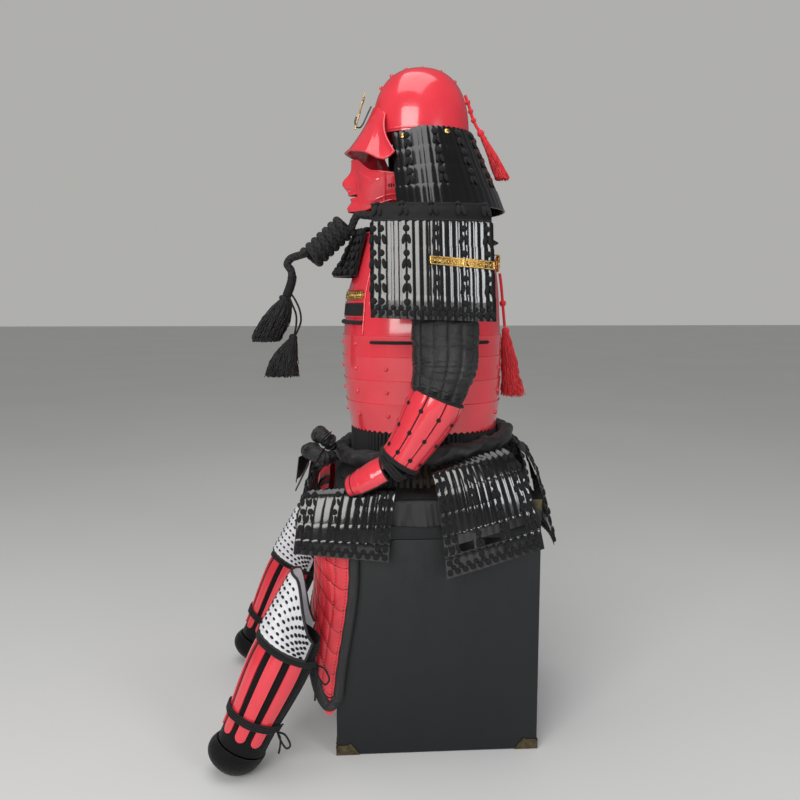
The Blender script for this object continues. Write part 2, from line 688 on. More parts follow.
class Spots:
    """Places of small repeated things, such as rivets, knots and stitches, on one piece."""

    def __init__(self, side=1, back=0.0):
        self.flip = np.array([side, 1.0, 1.0])
        self.shift = np.array([0.0, back, 0.0])
        self.rows = []

    def at(self, points, out, along, size=1.0):
        points = np.atleast_2d(points) * self.flip + self.shift
        out = np.broadcast_to(np.atleast_2d(out) * self.flip, points.shape)
        along = np.broadcast_to(np.atleast_2d(along) * self.flip, points.shape)
        size = np.broadcast_to(np.asarray(size, float).reshape(-1, 1), (len(points), 1))
        self.rows.append(np.hstack([points, out, along, size]))

    def on(self, skin, u, v, lift=0.0, lean=90.0, size=1.0):
        """On a surface, LIFT proud of it, its length LEAN degrees from the surface's u."""
        u, v = (np.asarray(x, float).ravel() for x in np.broadcast_arrays(u, v))
        point, out = skin.face(u, v), skin.normal(u, v)
        across = unit(skin.face(np.minimum(1, u + 1e-3), v) - skin.face(np.maximum(0, u - 1e-3), v))
        up = np.cross(out, across)
        turn = np.radians(np.broadcast_to(lean, u.shape))[:, None]
        self.at(point + out * lift, out, np.cos(turn) * across + np.sin(turn) * up, size)
    def row(self, skin, start, end, step, lift, lean):
        """A row of them every STEP between two places (s, t) of a surface."""
        count = max(2, round(math.dist(start, end) / step) + 1)
        self.on(skin, *skin.shares(*np.linspace(start, end, count).T), lift, lean)
    def make(self, name, finish, width, length, height, uneven=0.05, seed=1, build=bead_tree,
             roundness=2):
        rows = np.vstack(self.rows)
        mesh = bpy.data.meshes.new(name)
        mesh.from_pydata(rows[:, :3], [], [])
        for key, start in (("out", 3), ("along", 6)):
            layer = mesh.attributes.new(key, "FLOAT_VECTOR", "POINT")
            layer.data.foreach_set("vector", rows[:, start:start + 3].astype(np.float32).ravel())
        layer = mesh.attributes.new("size", "FLOAT", "POINT")
        layer.data.foreach_set("value", rows[:, 9].astype(np.float32))
        sizes = {"Width": width * MM / 2, "Length": length * MM / 2, "Height": height * MM / 2,
                 "Uneven": float(uneven), "Seed": seed, "Roundness": roundness}
        if build is hoop_tree:
            sizes["Height"] = height * MM
        return keep(grow(name, mesh, build, sizes, finish), finish.slot)


fittings = Piece()
nails = Spots()
for x in (-1, 1):
    for y in (-1, 1):
        foot = (x * chest_high.x, y * chest_high.y, chest_low.z + 0.0006)
        crown = (x * lid_high.x, y * lid_high.y, lid_high.z - 0.0006)
        for corner, up in ((foot, 1), (crown, -1)):
            corner_fitting(fittings, corner, (-x, -y), up)
            for axis in (0, 1):
                for reach in (0.2, 0.55):
                    p = np.array(corner)
                    p[axis] -= (x, y)[axis] * FITTING["reach"] * reach
                    p[1 - axis] += (x, y)[1 - axis] * FITTING["thick"]
                    p[2] += up * FITTING["height"] * 0.55
                    away = np.zeros(3)
                    away[1 - axis] = (x, y)[1 - axis]
                    nails.at(p, away, (0, 0, 1))
fittings.make("chest_fittings", bronze)
nails.make("chest_fitting_nails", bronze, 4.2, 4.2, 2.6)


# --- Cloth over the lid -------------------------------------------------------------------------
# One length of black satin lies over the lid under the armour and hangs down at both sides.
# Its folds run out from under the panels, and a fine cord edge is sewn along its hems.

def mix(a, b, t):
    return a + (b - a) * t


def ease(t):
    c = np.clip(t, 0, 1)
    return c * c * (3 - 2 * c)


def stacked(*parts):
    return np.stack(np.broadcast_arrays(*parts), -1)


def facing(face, u, v, first=0, last=1):
    """The direction out of a surface, whose u ends at FIRST and LAST."""
    step = 1e-3
    along = face(np.minimum(last, u + step), v) - face(np.maximum(first, u - step), v)
    up = face(u, np.minimum(1, v + step)) - face(u, np.maximum(0, v - step))
    return unit(np.cross(along, up))


class Skin:
    """A surface face(u, v) that can be measured in metres along u, s, and along v, t."""

    def __init__(self, face, edge=0.5):
        self.face = face
        self.fine = np.linspace(0, 1, 500)
        self.run_u = run_along(face(self.fine, np.full(500, edge)))
        self.run_v = run_along(face(np.full(500, 0.5), self.fine))
        self.width, self.height = self.run_u[-1], self.run_v[-1]

    def lengths(self, u, v):
        return np.interp(u, self.fine, self.run_u), np.interp(v, self.fine, self.run_v)

    def shares(self, s, t):
        return np.interp(s, self.run_u, self.fine), np.interp(t, self.run_v, self.fine)

    def normal(self, u, v):
        return facing(self.face, u, v)


def wall(piece, skin, us, vs, thick, relief=None, closed=False, finish=0):
    """Adds a plate or a cloth: its outer side raised by RELIEF(s, t), its back THICK behind.
    US and VS are the shares of its columns and rows, or how many there are."""
    us, vs = (np.linspace(0, 1, x) if isinstance(x, int) else x for x in (us, vs))
    u, v = np.meshgrid(us[:-1] if closed else us, vs, indexing="ij")
    base, out = skin.face(u, v), skin.normal(u, v)
    raised = relief(*skin.lengths(u, v))[..., None] if relief else 0.0
    places = stacked(*skin.lengths(*np.meshgrid(us, vs, indexing="ij")))
    two_sided(piece, base + out * raised, base - out * thick, places, closed, finish)


def edge_cord(piece, skin, start, end, count, radius, lift=0.0, relief=None, finish=0):
    """Sews a cord on a surface, from one place (u, v) to another."""
    u, v = np.linspace(start, end, count).T
    lift = relief(*skin.lengths(u, v))[:, None] if relief else lift
    sweep(piece, skin.face(u, v) + skin.normal(u, v) * lift, radius, 8, skin=finish)


def satin_cloth(name, low=(0.0012, 0.0012, 0.0016), high=(0.0075, 0.0078, 0.0092)):
    """Black satin: a fine weave with a soft shine."""
    finish = Finish(name, "black_satin", specular_ior_level=0.6, sheen_weight=0.05, sheen_roughness=0.35)
    across, along = finish.cloth()
    weave = (across * 5200.0).sine() * (along * 5200.0).sine()
    cloud = finish.noise(45, 4)
    finish.dress(cloud * 0.9 + weave * 0.12, low, high, cloud * 0.2 + 0.27,
                 weave * 0.12 + finish.noise(85, 4) * 0.9, 0.0011)
    return finish


satin = satin_cloth("black_satin")
CLOTH = {"front": -212 * MM, "back": 125 * MM, "half": 215.2 * MM, "drop": 46 * MM,
         "corner": 6 * MM, "thick": 1.6 * MM}
cloth_top = lid_high.z + 2.9 * MM


def cloth_face(u, v):
    """Across the lid from hem to hem along u, and from front to back along v."""
    flat = CLOTH["half"] - CLOTH["corner"]
    quarter = math.pi / 2 * CLOTH["corner"]
    s = (u - 0.5) * 2 * (CLOTH["drop"] + quarter + flat)
    run, side = np.abs(s), np.sign(s)
    turn = np.clip((run - flat) / CLOTH["corner"], 0, math.pi / 2)
    x = side * (np.minimum(run, flat) + CLOTH["corner"] * np.sin(turn))
    z = -CLOTH["corner"] * (1 - np.cos(turn)) - np.maximum(0, run - flat - quarter)
    hem = 4 * MM * np.sin(9 * v) * np.maximum(0, -z / (50 * MM))
    return stacked(x, mix(CLOTH["front"], CLOTH["back"], v), cloth_top + z + hem)


def cloth_folds(s, t):
    """Soft folds: they fan over the flat of the lid and run down to the hems."""
    width = lid_skin.width
    edge = np.minimum(s, width - s)
    hang = np.clip(1 - edge / 0.075, 0, 1)
    folds = 0.0
    for place, slope, girth, high in ((0.03, 0.1, 9, 3.2), (0.075, -0.25, 13, 4.5),
                                      (0.13, 0.3, 10, 3.4), (0.185, -0.1, 14, 5.0),
                                      (0.235, 0.25, 9, 3.0), (0.29, -0.2, 12, 4.2)):
        across = (t - place - slope * edge) / (girth * MM)
        folds = folds + high * MM * np.exp(-across ** 2) * (0.25 + 0.75 * hang)
    ripple = 0.5 * MM * (1 + np.sin(70 * s + 40 * np.sin(14 * t)))
    return folds + ripple * (0.4 + 0.6 * hang)


lid_skin = Skin(cloth_face)
lid_cloth = Piece()
wall(lid_cloth, lid_skin, 240, 130, CLOTH["thick"], cloth_folds)
lid_cloth = lid_cloth.make("thigh_cloth_satin", satin, "thigh_cloth")
hems = Piece()
for start, end, count in (((0.0015, 0.002), (0.0015, 0.998), 160),
                          ((0.9985, 0.002), (0.9985, 0.998), 160),
                          ((0.002, 0.004), (0.998, 0.004), 260)):
    edge_cord(hems, lid_skin, start, end, count, 1.5 * MM, relief=cloth_folds)
hems.make("thigh_cloth_hems", fine_braid)


# --- Quilted thigh panels -----------------------------------------------------------------------
# Each is red patent cloth quilted over wadding in squares of dark chain stitch, with a padded
# black satin border and a thin piping. Its lap turns back over the lid, and its outer end is
# drawn down to a point beside the chest.

PANEL_PLAN = np.array([(220.5, -166, 128), (221, -192, 96), (216, -222, 150), (192, -246, 224),
                       (160, -252, 285), (118, -252, 312), (68, -251, 318), (16, -250, 318)]) * MM
LAP = {"share": 0.75, "start": 508 * MM, "side_rise": 20 * MM, "rise": 30 * MM, "back": 26 * MM}
LEAN = {"from": 400 * MM, "over": 300 * MM, "forward": 34 * MM}


def panel_face(u, v):
    """From its inner edge in front, round to its outer edge beside the chest, and up to its lap."""
    row = catmull(PANEL_PLAN, 1 - u)
    x, y, foot = row[..., 0], row[..., 1], row[..., 2]
    in_front = ease((-y - 216 * MM) / (30 * MM))
    lap = np.maximum(0, (v - LAP["share"]) / (1 - LAP["share"]))
    turn = lap * math.pi / 2
    lift = mix(LAP["side_rise"] * lap, LAP["rise"] * np.sin(turn), in_front)
    z = mix(foot, LAP["start"], np.minimum(1, v / LAP["share"])) + lift
    forward = LEAN["forward"] * ease((LEAN["from"] - z) / LEAN["over"]) * ease(2 * u)
    return stacked(x, y - forward + in_front * LAP["back"] * (1 - np.cos(turn)), z)


red_patent = Finish("red_patent_cloth", "red_quilt", coat_weight=0.35, coat_roughness=0.12,
                    specular_ior_level=0.5)
sheen = red_patent.noise(30, 4)
red_patent.dress(sheen * 1.4 - 0.2, (0.44, 0.014, 0.022), (0.74, 0.04, 0.058), sheen * 0.25 + 0.22,
                 red_patent.noise(130, 4), 0.0007)

panel_skin = Skin(panel_face, edge=0.3)
QUILT, BORDER = 27 * MM, 22 * MM
SIDES = ((1, "left"), (-1, "right"))


def panel_puffs(s, t):
    """Squares swell between the seams, inside the border."""
    inside = np.minimum(np.minimum(s, panel_skin.width - s), np.minimum(t, panel_skin.height - t))
    swell = np.abs(np.sin(math.pi * s / QUILT) * np.sin(math.pi * t / QUILT)) ** 0.45
    return 2.6 * MM * np.where(inside > BORDER, swell, 0.25)


def round_edge(*corners, counts):
    """Places u and v along the straight runs between corners."""
    runs = zip(corners, corners[1:], counts)
    return np.concatenate([np.linspace(start, end, count) for start, end, count in runs]).T


def apart(path, gap):
    """Which points of a path lie more than GAP from the one before."""
    return np.append(True, np.linalg.norm(np.diff(path, axis=0), axis=1) > gap)


def panel_edge(inset):
    """The middle of an edging INSET from the panel's rim, and the direction out of it."""
    s, t = panel_skin.lengths(*round_edge((1, 1), (1, 0), (0, 0), (0, 1), counts=(90, 90, 90)))
    u, v = panel_skin.shares(np.clip(s, inset, panel_skin.width - inset), np.clip(t, inset, None))
    out = panel_skin.normal(u, v)
    path = panel_skin.face(u, v) + out * 0.5 * MM
    kept = apart(path, 0.4 * MM)
    return path[kept], out[kept]


def padded_border(piece):
    """A flat satin band, a little puffed and wrinkled, folded over the panel's rim."""
    route, out = panel_edge(0.5 * BORDER)
    place = np.linspace(-1, 1, 9)
    arch = 1 - place ** 2
    across = np.cross(out, unit(np.gradient(route, axis=0)))
    flat = route[:, None] + across[:, None] * (place * 0.5 * BORDER * 0.96)[:, None]
    wrinkle = 0.7 * MM * np.sin(run_along(route) * 420)[:, None] * arch
    top = flat + out[:, None] * (np.sqrt(arch) * 3.6 * MM + 0.9 * MM + wrinkle)[..., None]
    under = flat - out[:, None] * 3.0 * MM
    tube(piece, np.concatenate([top, under[:, ::-1]], 1), np.linspace(0, 0.06, 19),
         np.append(run_along(route), 0))


for side, label in SIDES:
    panel = Piece(side)
    wall(panel, panel_skin, 170, 190, 2.2 * MM, panel_puffs)
    panel = panel.make(f"thigh_panel_{label}_quilt", red_patent, f"thigh_panel_{label}")
    border, piping = Piece(side), Piece(side)
    padded_border(border)
    border.make(f"thigh_panel_{label}_border", satin)
    sweep(piping, panel_edge(BORDER + 1 * MM)[0], 1.5 * MM, 8)
    piping.make(f"thigh_panel_{label}_piping", fine_braid)
    seams = Spots(side)
    width, height = panel_skin.width, panel_skin.height
    for s in np.arange(1, int(width / QUILT) + 1) * QUILT:
        if BORDER < s < width - BORDER:
            seams.row(panel_skin, (s, BORDER), (s, height - 2 * MM), 4.4 * MM, 0.5 * MM, 90)
    for t in np.arange(1, int(height / QUILT) + 1) * QUILT:
        if t > BORDER:
            seams.row(panel_skin, (BORDER, t), (width - BORDER, t), 4.4 * MM, 0.5 * MM, 0)
    seams.make(f"thigh_panel_{label}_stitches", fine_braid, 1.9, 4.2, 1.6, roundness=1)


# --- Body armour --------------------------------------------------------------------------------
# Two halves of horizontal iron plates, riveted edge over edge and lacquered glossy red. The front
# half has laced and roped bands across its chest, and braid edges the plates under the arms.

TRUNK = np.array([(664, 173, 146, 160), (718, 183, 152, 165), (819, 191, 154, 172),
                  (873, 189, 152, 174), (957, 180, 148, 168), (1010, 163, 142, 158),
                  (1080, 139, 128, 140)]) * MM
CUIRASS = {"foot": 664 * MM, "side": 925 * MM, "front": 1080 * MM, "back": 1050 * MM,
           "yoke": 124 * MM, "plate": 2.4 * MM}
SEAMS = (726 * MM, 774 * MM, 823 * MM, 866 * MM)


def trunk_point(angle, z, out=0.0):
    """The body's surface at an angle round it, from its left, and at a height."""
    def reach(column):
        return sum(np.interp(z + k * 16 * MM, TRUNK[:, 0], TRUNK[:, column]) * share
                   for k, share in ((-1, 0.25), (0, 0.5), (1, 0.25)))

    c, s = np.cos(angle), np.sin(angle)
    depth = np.where(s < 0, reach(1), reach(2)) + out
    power = 2 / 2.4
    return stacked(np.sign(c) * (reach(3) + out) * np.abs(c) ** power,
                   np.sign(s) * depth * np.abs(s) ** power, z + 0 * c)


def cuirass_top(angle, high):
    x = np.abs(trunk_point(angle, CUIRASS["side"])[..., 0])
    return mix(high, CUIRASS["side"] + 1 * MM, ease((x - CUIRASS["yoke"] + 6 * MM) / (12 * MM)))


def half_face(start, high):
    """A half of the body armour: the lower half of v lies below the side plates' top edge."""
    def face(u, v):
        angle = start + np.radians(1 + 178 * u)
        zigzag = 5 * MM * np.abs(((u * 34) % 1) - 0.5) * 2 * np.clip(1 - v / 0.03, 0, 1)
        low = mix(CUIRASS["foot"], CUIRASS["side"], np.minimum(1, v / 0.5))
        z = np.where(v < 0.5, low, mix(CUIRASS["side"], cuirass_top(angle, high), 2 * v - 1))
        return trunk_point(angle, z + zigzag)
    return face


def plate_steps(skin):
    """Each plate's upper edge stands proud of the plate above it."""
    def relief(s, t):
        z = skin.face(np.full(s.shape, 0.5), skin.shares(s, t)[1])[..., 2]
        raised = 0.0
        for seam in SEAMS:
            under = seam - z
            raised = raised + np.where(under > 0, 2.3 * MM * np.exp(-under / (15 * MM)), 0)
        return raised
    return relief


def lacquer(name, low, high, rough=0.1):
    """Glossy lacquer over iron or hide, with the faint swell of hand polishing."""
    finish = Finish(name, name, specular_ior_level=0.5, coat_weight=0.7, coat_roughness=0.05)
    cloud = finish.noise(14, 3)
    fine = finish.noise(160, 2)
    finish.dress(cloud * 1.5 - 0.25, low, high, cloud * 0.12 + fine * 0.06 + rough,
                 cloud * 0.6 + fine * 0.1, 0.0006, 0.6)
    return finish


red_lacquer = lacquer("red_lacquer", (0.60, 0.026, 0.042), (0.70, 0.040, 0.060), 0.12)
black_lacquer = lacquer("black_lacquer", (0.001, 0.001, 0.0012), (0.0035, 0.0035, 0.004), 0.1)

seam_levels = [((z - CUIRASS["foot"]) / (CUIRASS["side"] - CUIRASS["foot"])) * 0.5 for z in SEAMS]
low_levels = set(np.round(np.linspace(0.04, 0.5, 26), 5)) | {0.0, 0.01, 0.02, 0.03}
for level in seam_levels:
    low_levels |= {round(level - 0.003, 5), round(level - 0.0008, 5), round(level + 0.0014, 5)}
cuirass_levels = np.array(sorted(low_levels) + list(np.linspace(0.52, 1, 26)))
halves = {}
for name, start, high in (("front", math.pi, CUIRASS["front"]), ("back", 0.0, CUIRASS["back"])):
    skin = Skin(half_face(start, high))
    halves[name] = skin
    half = Piece()
    wall(half, skin, 273, cuirass_levels, CUIRASS["plate"], plate_steps(skin))
    half.make(f"cuirass_{name}_plates", red_lacquer, f"cuirass_{name}")

rivets = Spots()
for name, angles in (("front", (270, 303, 331, 237, 209)), ("back", (60, 90, 120))):
    for angle in angles:
        heights = (701, 750, 798) if angle in (331, 209, 60, 120) else (701, 750, 798, 849)
        for z in heights:
            near = trunk_point(math.radians(angle), z * MM)
            off = unit(trunk_point(math.radians(angle), z * MM, MM) - near)
            rivets.at(near + off * 1.2 * MM, off, (0, 0, 1))
rivets.make("cuirass_rivets", red_lacquer, 8.5, 8.5, 8.0, uneven=0.02)


def trunk_path(low_angle, high_angle, z, out, count=160):
    angle = np.radians(np.linspace(low_angle, high_angle, count))
    return trunk_point(angle, np.full(count, z * MM), out * MM)


# The bands across the chest: red mouldings, an upright ribbed lacing and a twisted rope.
chest_reach = 41
mouldings = Piece()
for z, radius in ((935, 2.2), (904, 2.0), (961, 1.6)):
    sweep(mouldings, trunk_path(270 - chest_reach, 270 + chest_reach, z, 1.2), radius * MM, 10)
for sign in (-1, 1):
    upright = trunk_point(math.radians(270 + sign * chest_reach), np.linspace(868, 1052, 60) * MM,
                          1.2 * MM)
    sweep(mouldings, upright, 2.4 * MM, 10)
for skin in halves.values():
    edge_cord(mouldings, skin, (0.003, 0.999), (0.997, 0.999), 420, 2.1 * MM)
mouldings.make("cuirass_mouldings", red_lacquer)

lacing = braided("black_flat_lacing", "black_lacing", BLACK_LOW, BLACK_HIGH, 2, 0.009, 0.0004)
ribbed = Piece()
for angle in np.linspace(270 - chest_reach + 1, 270 + chest_reach - 1, 96):
    rib = trunk_point(math.radians(angle), np.linspace(907, 932, 5) * MM, 1.4 * MM)
    sweep(ribbed, rib, 1.75 * MM, 6)
ribbed.make("chest_lacing_band", lacing)


def twisted(piece, path, radius, pitch):
    """A rope of three strands laid round each other."""
    path = smooth_path(path, pitch / 12)
    run = run_along(path)
    ahead = unit(np.gradient(path, axis=0))
    across = unit(np.cross(ahead, (0.1, 0.2, 0.97)))
    lift = np.cross(ahead, across)
    for ply in range(3):
        turn = (TURN * (run / pitch + ply / 3))[:, None]
        sweep(piece, path + 0.52 * radius * (np.cos(turn) * across + np.sin(turn) * lift),
              radius * 0.55, 10)


roping = Piece()
twisted(roping, trunk_path(270 - chest_reach + 1, 270 + chest_reach - 1, 893, 3.2, 40), 4.2 * MM,
        15 * MM)
for start, end in ((181.5, 221), (319, 358.5), (1.5, 40), (140, 178.5)):
    twisted(roping, trunk_path(start, end, 853, 2.2, 30), 3.4 * MM, 13 * MM)
roping.make("cuirass_rope_bands", fine_braid)

dark_gilt = gilded("gilt_in_shadow", (0.12, 0.05, 0.01), (0.4, 0.22, 0.06))


def openwork(name, node, rails, skin, columns, count, hoop, stud, more, side=1, **studs_made):
    """Openwork gilt: rails, a dark back, a row of COUNT small hoops and studs where they touch.
    HOOP and STUD give their lift and three sizes, and MORE the other studs' u, v, lift and size."""
    wall(rails, skin, columns, 3, 0.9 * MM, finish=1)
    rails.make(name + "_rails", gilt, node, second=dark_gilt)
    hoops, studs = Spots(side), Spots(side)
    middles = (np.arange(count) + 0.5) / count
    hoops.on(skin, middles, 0.5, hoop[0] * MM)
    studs.on(skin, middles, 0.5, stud[0] * MM)
    for u, v, lift, size in more:
        studs.on(skin, u, v, lift * MM, size=size)
    hoops.make(name + "_hoops", gilt, *hoop[1:], build=hoop_tree)
    studs.make(name + "_studs", gilt, *stud[1:], **studs_made)


PLAQUE = {"low": 940, "high": 958, "reach": 38, "hoops": 27}
plaque = Piece()
for z in (PLAQUE["low"] + 1.5, PLAQUE["high"] - 1.5):
    sweep(plaque, trunk_path(270 - PLAQUE["reach"], 270 + PLAQUE["reach"], z, 1.8), 1.6 * MM, 8)
backing = Skin(lambda u, v: trunk_point(np.radians(270 + PLAQUE["reach"] * (2 * u - 1)),
                                        mix(PLAQUE["low"], PLAQUE["high"], v) * MM, 1.3 * MM))
between = np.arange(1, PLAQUE["hoops"]) / PLAQUE["hoops"]
openwork("chest_plaque", "chest_plaque", plaque, backing, 90, PLAQUE["hoops"],
         (1.0, 10.5, 10.5, 1.0), (1.2, 4.6, 4.6, 3.0),
         [(between, 0.82, 1.0, 0.7), (between, 0.18, 1.0, 0.7)])

# Padded straps over the shoulders, edged with cord.
STRAP = {"inner": 50, "outer": 116, "back_y": 130, "front_y": -126, "rise": 34}


def strap_face(u, v):
    y = mix(STRAP["front_y"], STRAP["back_y"], 1 - v)
    z = mix(1080, 1050, 1 - v) + 4 + STRAP["rise"] * np.sin(math.pi * v)
    return stacked(mix(STRAP["outer"], STRAP["inner"], 1 - u), y, z) * MM


strap_skin = Skin(strap_face)
for side, label in SIDES:
    strap = Piece(side)
    wall(strap, strap_skin, 28, 90, 2.6 * MM,
         lambda s, t: 1.2 * MM * np.sqrt(np.abs(np.sin(math.pi * s / strap_skin.width))))
    for end in (0.01, 0.99):
        edge_cord(strap, strap_skin, (end, 0.005), (end, 0.995), 90, 2.0 * MM, finish=1)
    strap.make(f"shoulder_strap_{label}_padded", satin, f"shoulder_strap_{label}",
               second=fine_braid, slot="black_lacquer")


# --- Suspension laces and the sash --------------------------------------------------------------
# Thick black braids hang side by side from the body armour's foot and carry the thigh guards.
# A sash of satin stuffed into a fat tube is tied over them, with a bow and two short ends.

SASH = {"radius": 16 * MM, "out": 20 * MM, "front": 606 * MM, "side": 625 * MM, "back": 652 * MM}
LACES = {"low": 560 * MM, "spread": 34 * MM, "over": 34 * MM, "count": 104, "behind": 3 * MM}


def sash_middle(angle):
    p = trunk_point(angle, CUIRASS["foot"], SASH["out"])
    s = np.sin(angle)
    z = np.where(s < 0, mix(SASH["side"], SASH["front"], -s), mix(SASH["side"], SASH["back"], s))
    return stacked(p[..., 0], p[..., 1], z)


def lace_path(angle):
    z = np.linspace(LACES["low"], CUIRASS["foot"] + 9 * MM, 26)
    under = sash_middle(angle)[2] - SASH["radius"] - z
    out = LACES["spread"] * ease(under / LACES["over"]) - 4.5 * MM * ease((z - 660 * MM) / (6 * MM))
    p = trunk_point(angle, np.full(26, CUIRASS["foot"]), out - LACES["behind"])
    return stacked(p[:, 0], p[:, 1], z)


laces = Piece()
for angle in np.linspace(0, TURN, LACES["count"], endpoint=False):
    sweep(laces, lace_path(angle + 0.004), 4.4 * MM, 8, squash=0.75)
laces.make("suspension_lace_rows", lacing, "suspension_laces")


def tube_wrinkles(pace, deep, seed):
    """Hand-set wrinkles of a stuffed satin tube: soft ridges that run slantwise round it."""
    draw = np.random.default_rng(seed)
    ridges = draw.uniform((0, -1, 0.05, 0.35), (1, 1, 0.16, 1.0), (pace, 4))

    def relief(u, angle):
        raised = 0.0
        for place, slant, girth, share in ridges:
            off = (u - place - 0.035 * slant * np.sin(angle + 9 * place) + 0.5) % 1 - 0.5
            lobe = 0.5 + 0.5 * np.cos(angle - TURN * share * 3)
            raised = raised + deep * share * np.exp(-(off / (girth * 0.09)) ** 2) * lobe
        return raised
    return relief


sash = Piece()
route = sash_middle(np.linspace(0, TURN, 420, endpoint=False))
fold = tube_wrinkles(150, 3.0 * MM, 5)
length = run_along(route)[-1]
sweep(sash, route, SASH["radius"] - 1.5 * MM, 30,
      lambda run, angle: fold(run / length, angle), ring=True)
sash = sash.make("sash_tube", satin, "sash_ring")

LOOPS = {
    "sash_loop_upper": [(30, -213.5, 618, 9), (52, -226, 634, 15), (52, -240, 648, 18),
                        (30, -250, 640, 16)],
    "sash_loop_lower": [(60, -214.5, 600, 9), (82, -232, 604, 16), (72, -256, 614, 19),
                        (40, -270, 612, 17)],
}
for seed, (name, rows) in enumerate(LOOPS.items(), 20):
    v = np.linspace(0, 1, 70)
    table = catmull(np.array(rows) * MM, v)
    crease = tube_wrinkles(26, 2.6 * MM, seed)
    end = np.sqrt(np.clip(1 - ((v - 0.93) / 0.075) ** 2, 0.02, 1))
    girth = table[:, 3] * np.where(v > 0.93, end, 1)
    loop = Piece()
    reach = run_along(table[:, :3])[-1]
    sweep(loop, table[:, :3], girth - 1.2 * MM, 30,
          lambda run, angle: crease(run / reach, angle) * 1.5)
    loop = loop.make(name + "_satin", satin, name)


def patch(low_a, low_b, top_a, top_b, belly=1.0, swell=0.0):
    """A panel between four corners, in millimetres: it hangs in a curve and swells outwards."""
    low_a, low_b, top_a, top_b = (np.array(p, float) * MM for p in (low_a, low_b, top_a, top_b))
    outward = unit(np.cross(low_b - low_a, top_a - low_a))

    def face(u, v):
        hang = 1 - (1 - v) ** belly
        low, top = (mix(a, b, u[..., None]) for a, b in ((low_a, low_b), (top_a, top_b)))
        p = mix(low, top, stacked(hang, hang, v))
        return p + outward * (swell * MM * np.sin(math.pi * u))[..., None]
    return face


flat_skin = Skin(patch((-20, -292, 541), (28, -298, 538), (-22, -262, 592), (22, -292, 594), 1, 3))
flat_end = Piece()
wall(flat_end, flat_skin, 60, 60, 1.6 * MM,
     lambda s, t: 1.0 * MM * (1 + np.sin(190 * s + 20 * t)) * (0.4 + 8 * t))
sash_weave = satin_cloth("maroon_black_satin", (0.004, 0.001, 0.0018), (0.022, 0.006, 0.009))
flat_end = flat_end.make("sash_end_flat_cloth", sash_weave, "sash_end_flat")


def pointed_face(u, v):
    half = mix(3, 17, np.sin(math.pi / 2 * v))
    return stacked(62 + half * (2 * u - 1), mix(-297, -268, v), mix(528, 588, v)) * MM


pointed_skin = Skin(pointed_face)
pointed_end = Piece()
wall(pointed_end, pointed_skin, 50, 60, 1.6 * MM,
     lambda s, t: 1.4 * MM * (1 + np.sin(170 * s)) * (0.5 + 5 * t))
pointed_end = pointed_end.make("sash_end_pointed_cloth", satin, "sash_end_pointed")


# --- Laced lames --------------------------------------------------------------------------------
# Thigh guards, shoulder guards, the neck guard and the bib are rows of narrow black lacquered
# scales, hung from each other by black lacing: flat pairs of braid cross each row's scalloped
# upper edge, tied in small knots. Two staggered lines of knots edge each foot but the neck guard's.

knot_silk = Finish("black_knots", "black_lacing", specular_ior_level=0.3, sheen_weight=0.06,
                   sheen_roughness=0.5)
fibre = knot_silk.noise(700, 3)
knot_silk.dress(fibre * 1.3 - 0.2, BLACK_LOW, BLACK_HIGH, fibre * 0.2 + 0.65,
                fibre + knot_silk.noise(260, 2), 0.0009)
LAME = {"proud": 2.5, "thick": 1.5 * MM, "steps": 6}


def lame(piece, skin, low, high, scales, span=(0.0, 1.0), flute=1.3, scallop=2.6):
    """One row of scales between two heights v, its upper edge standing proud."""
    first, last = (round(share * scales) for share in span)
    phase = np.arange(first * LAME["steps"], last * LAME["steps"] + 1) / LAME["steps"]
    part = phase % 1.0
    levels = np.array([0.0, 0.25, 0.5, 0.75, 0.9, 1.0])
    u = np.repeat((phase / scales)[:, None], len(levels), 1)
    tip = high - (scallop * MM / skin.height) * np.abs(2 * part - 1) ** 2.6
    v = mix(low, tip[:, None], levels[None])
    share = np.clip((v - low) / (high - low), 0, 1)
    bulge = (np.sin(math.pi * part) ** 0.8 * (0.6 + 0.4 * part))[:, None]
    lift = (LAME["proud"] * share + flute * bulge) * MM
    lift[:, -1] -= 0.5 * MM
    inside = np.clip(v, 0, 1)
    out = skin.normal(u, inside)
    outer = skin.face(u, inside) + out * lift[..., None]
    two_sided(piece, outer, outer - out * LAME["thick"], stacked(u * skin.width, v * skin.height))


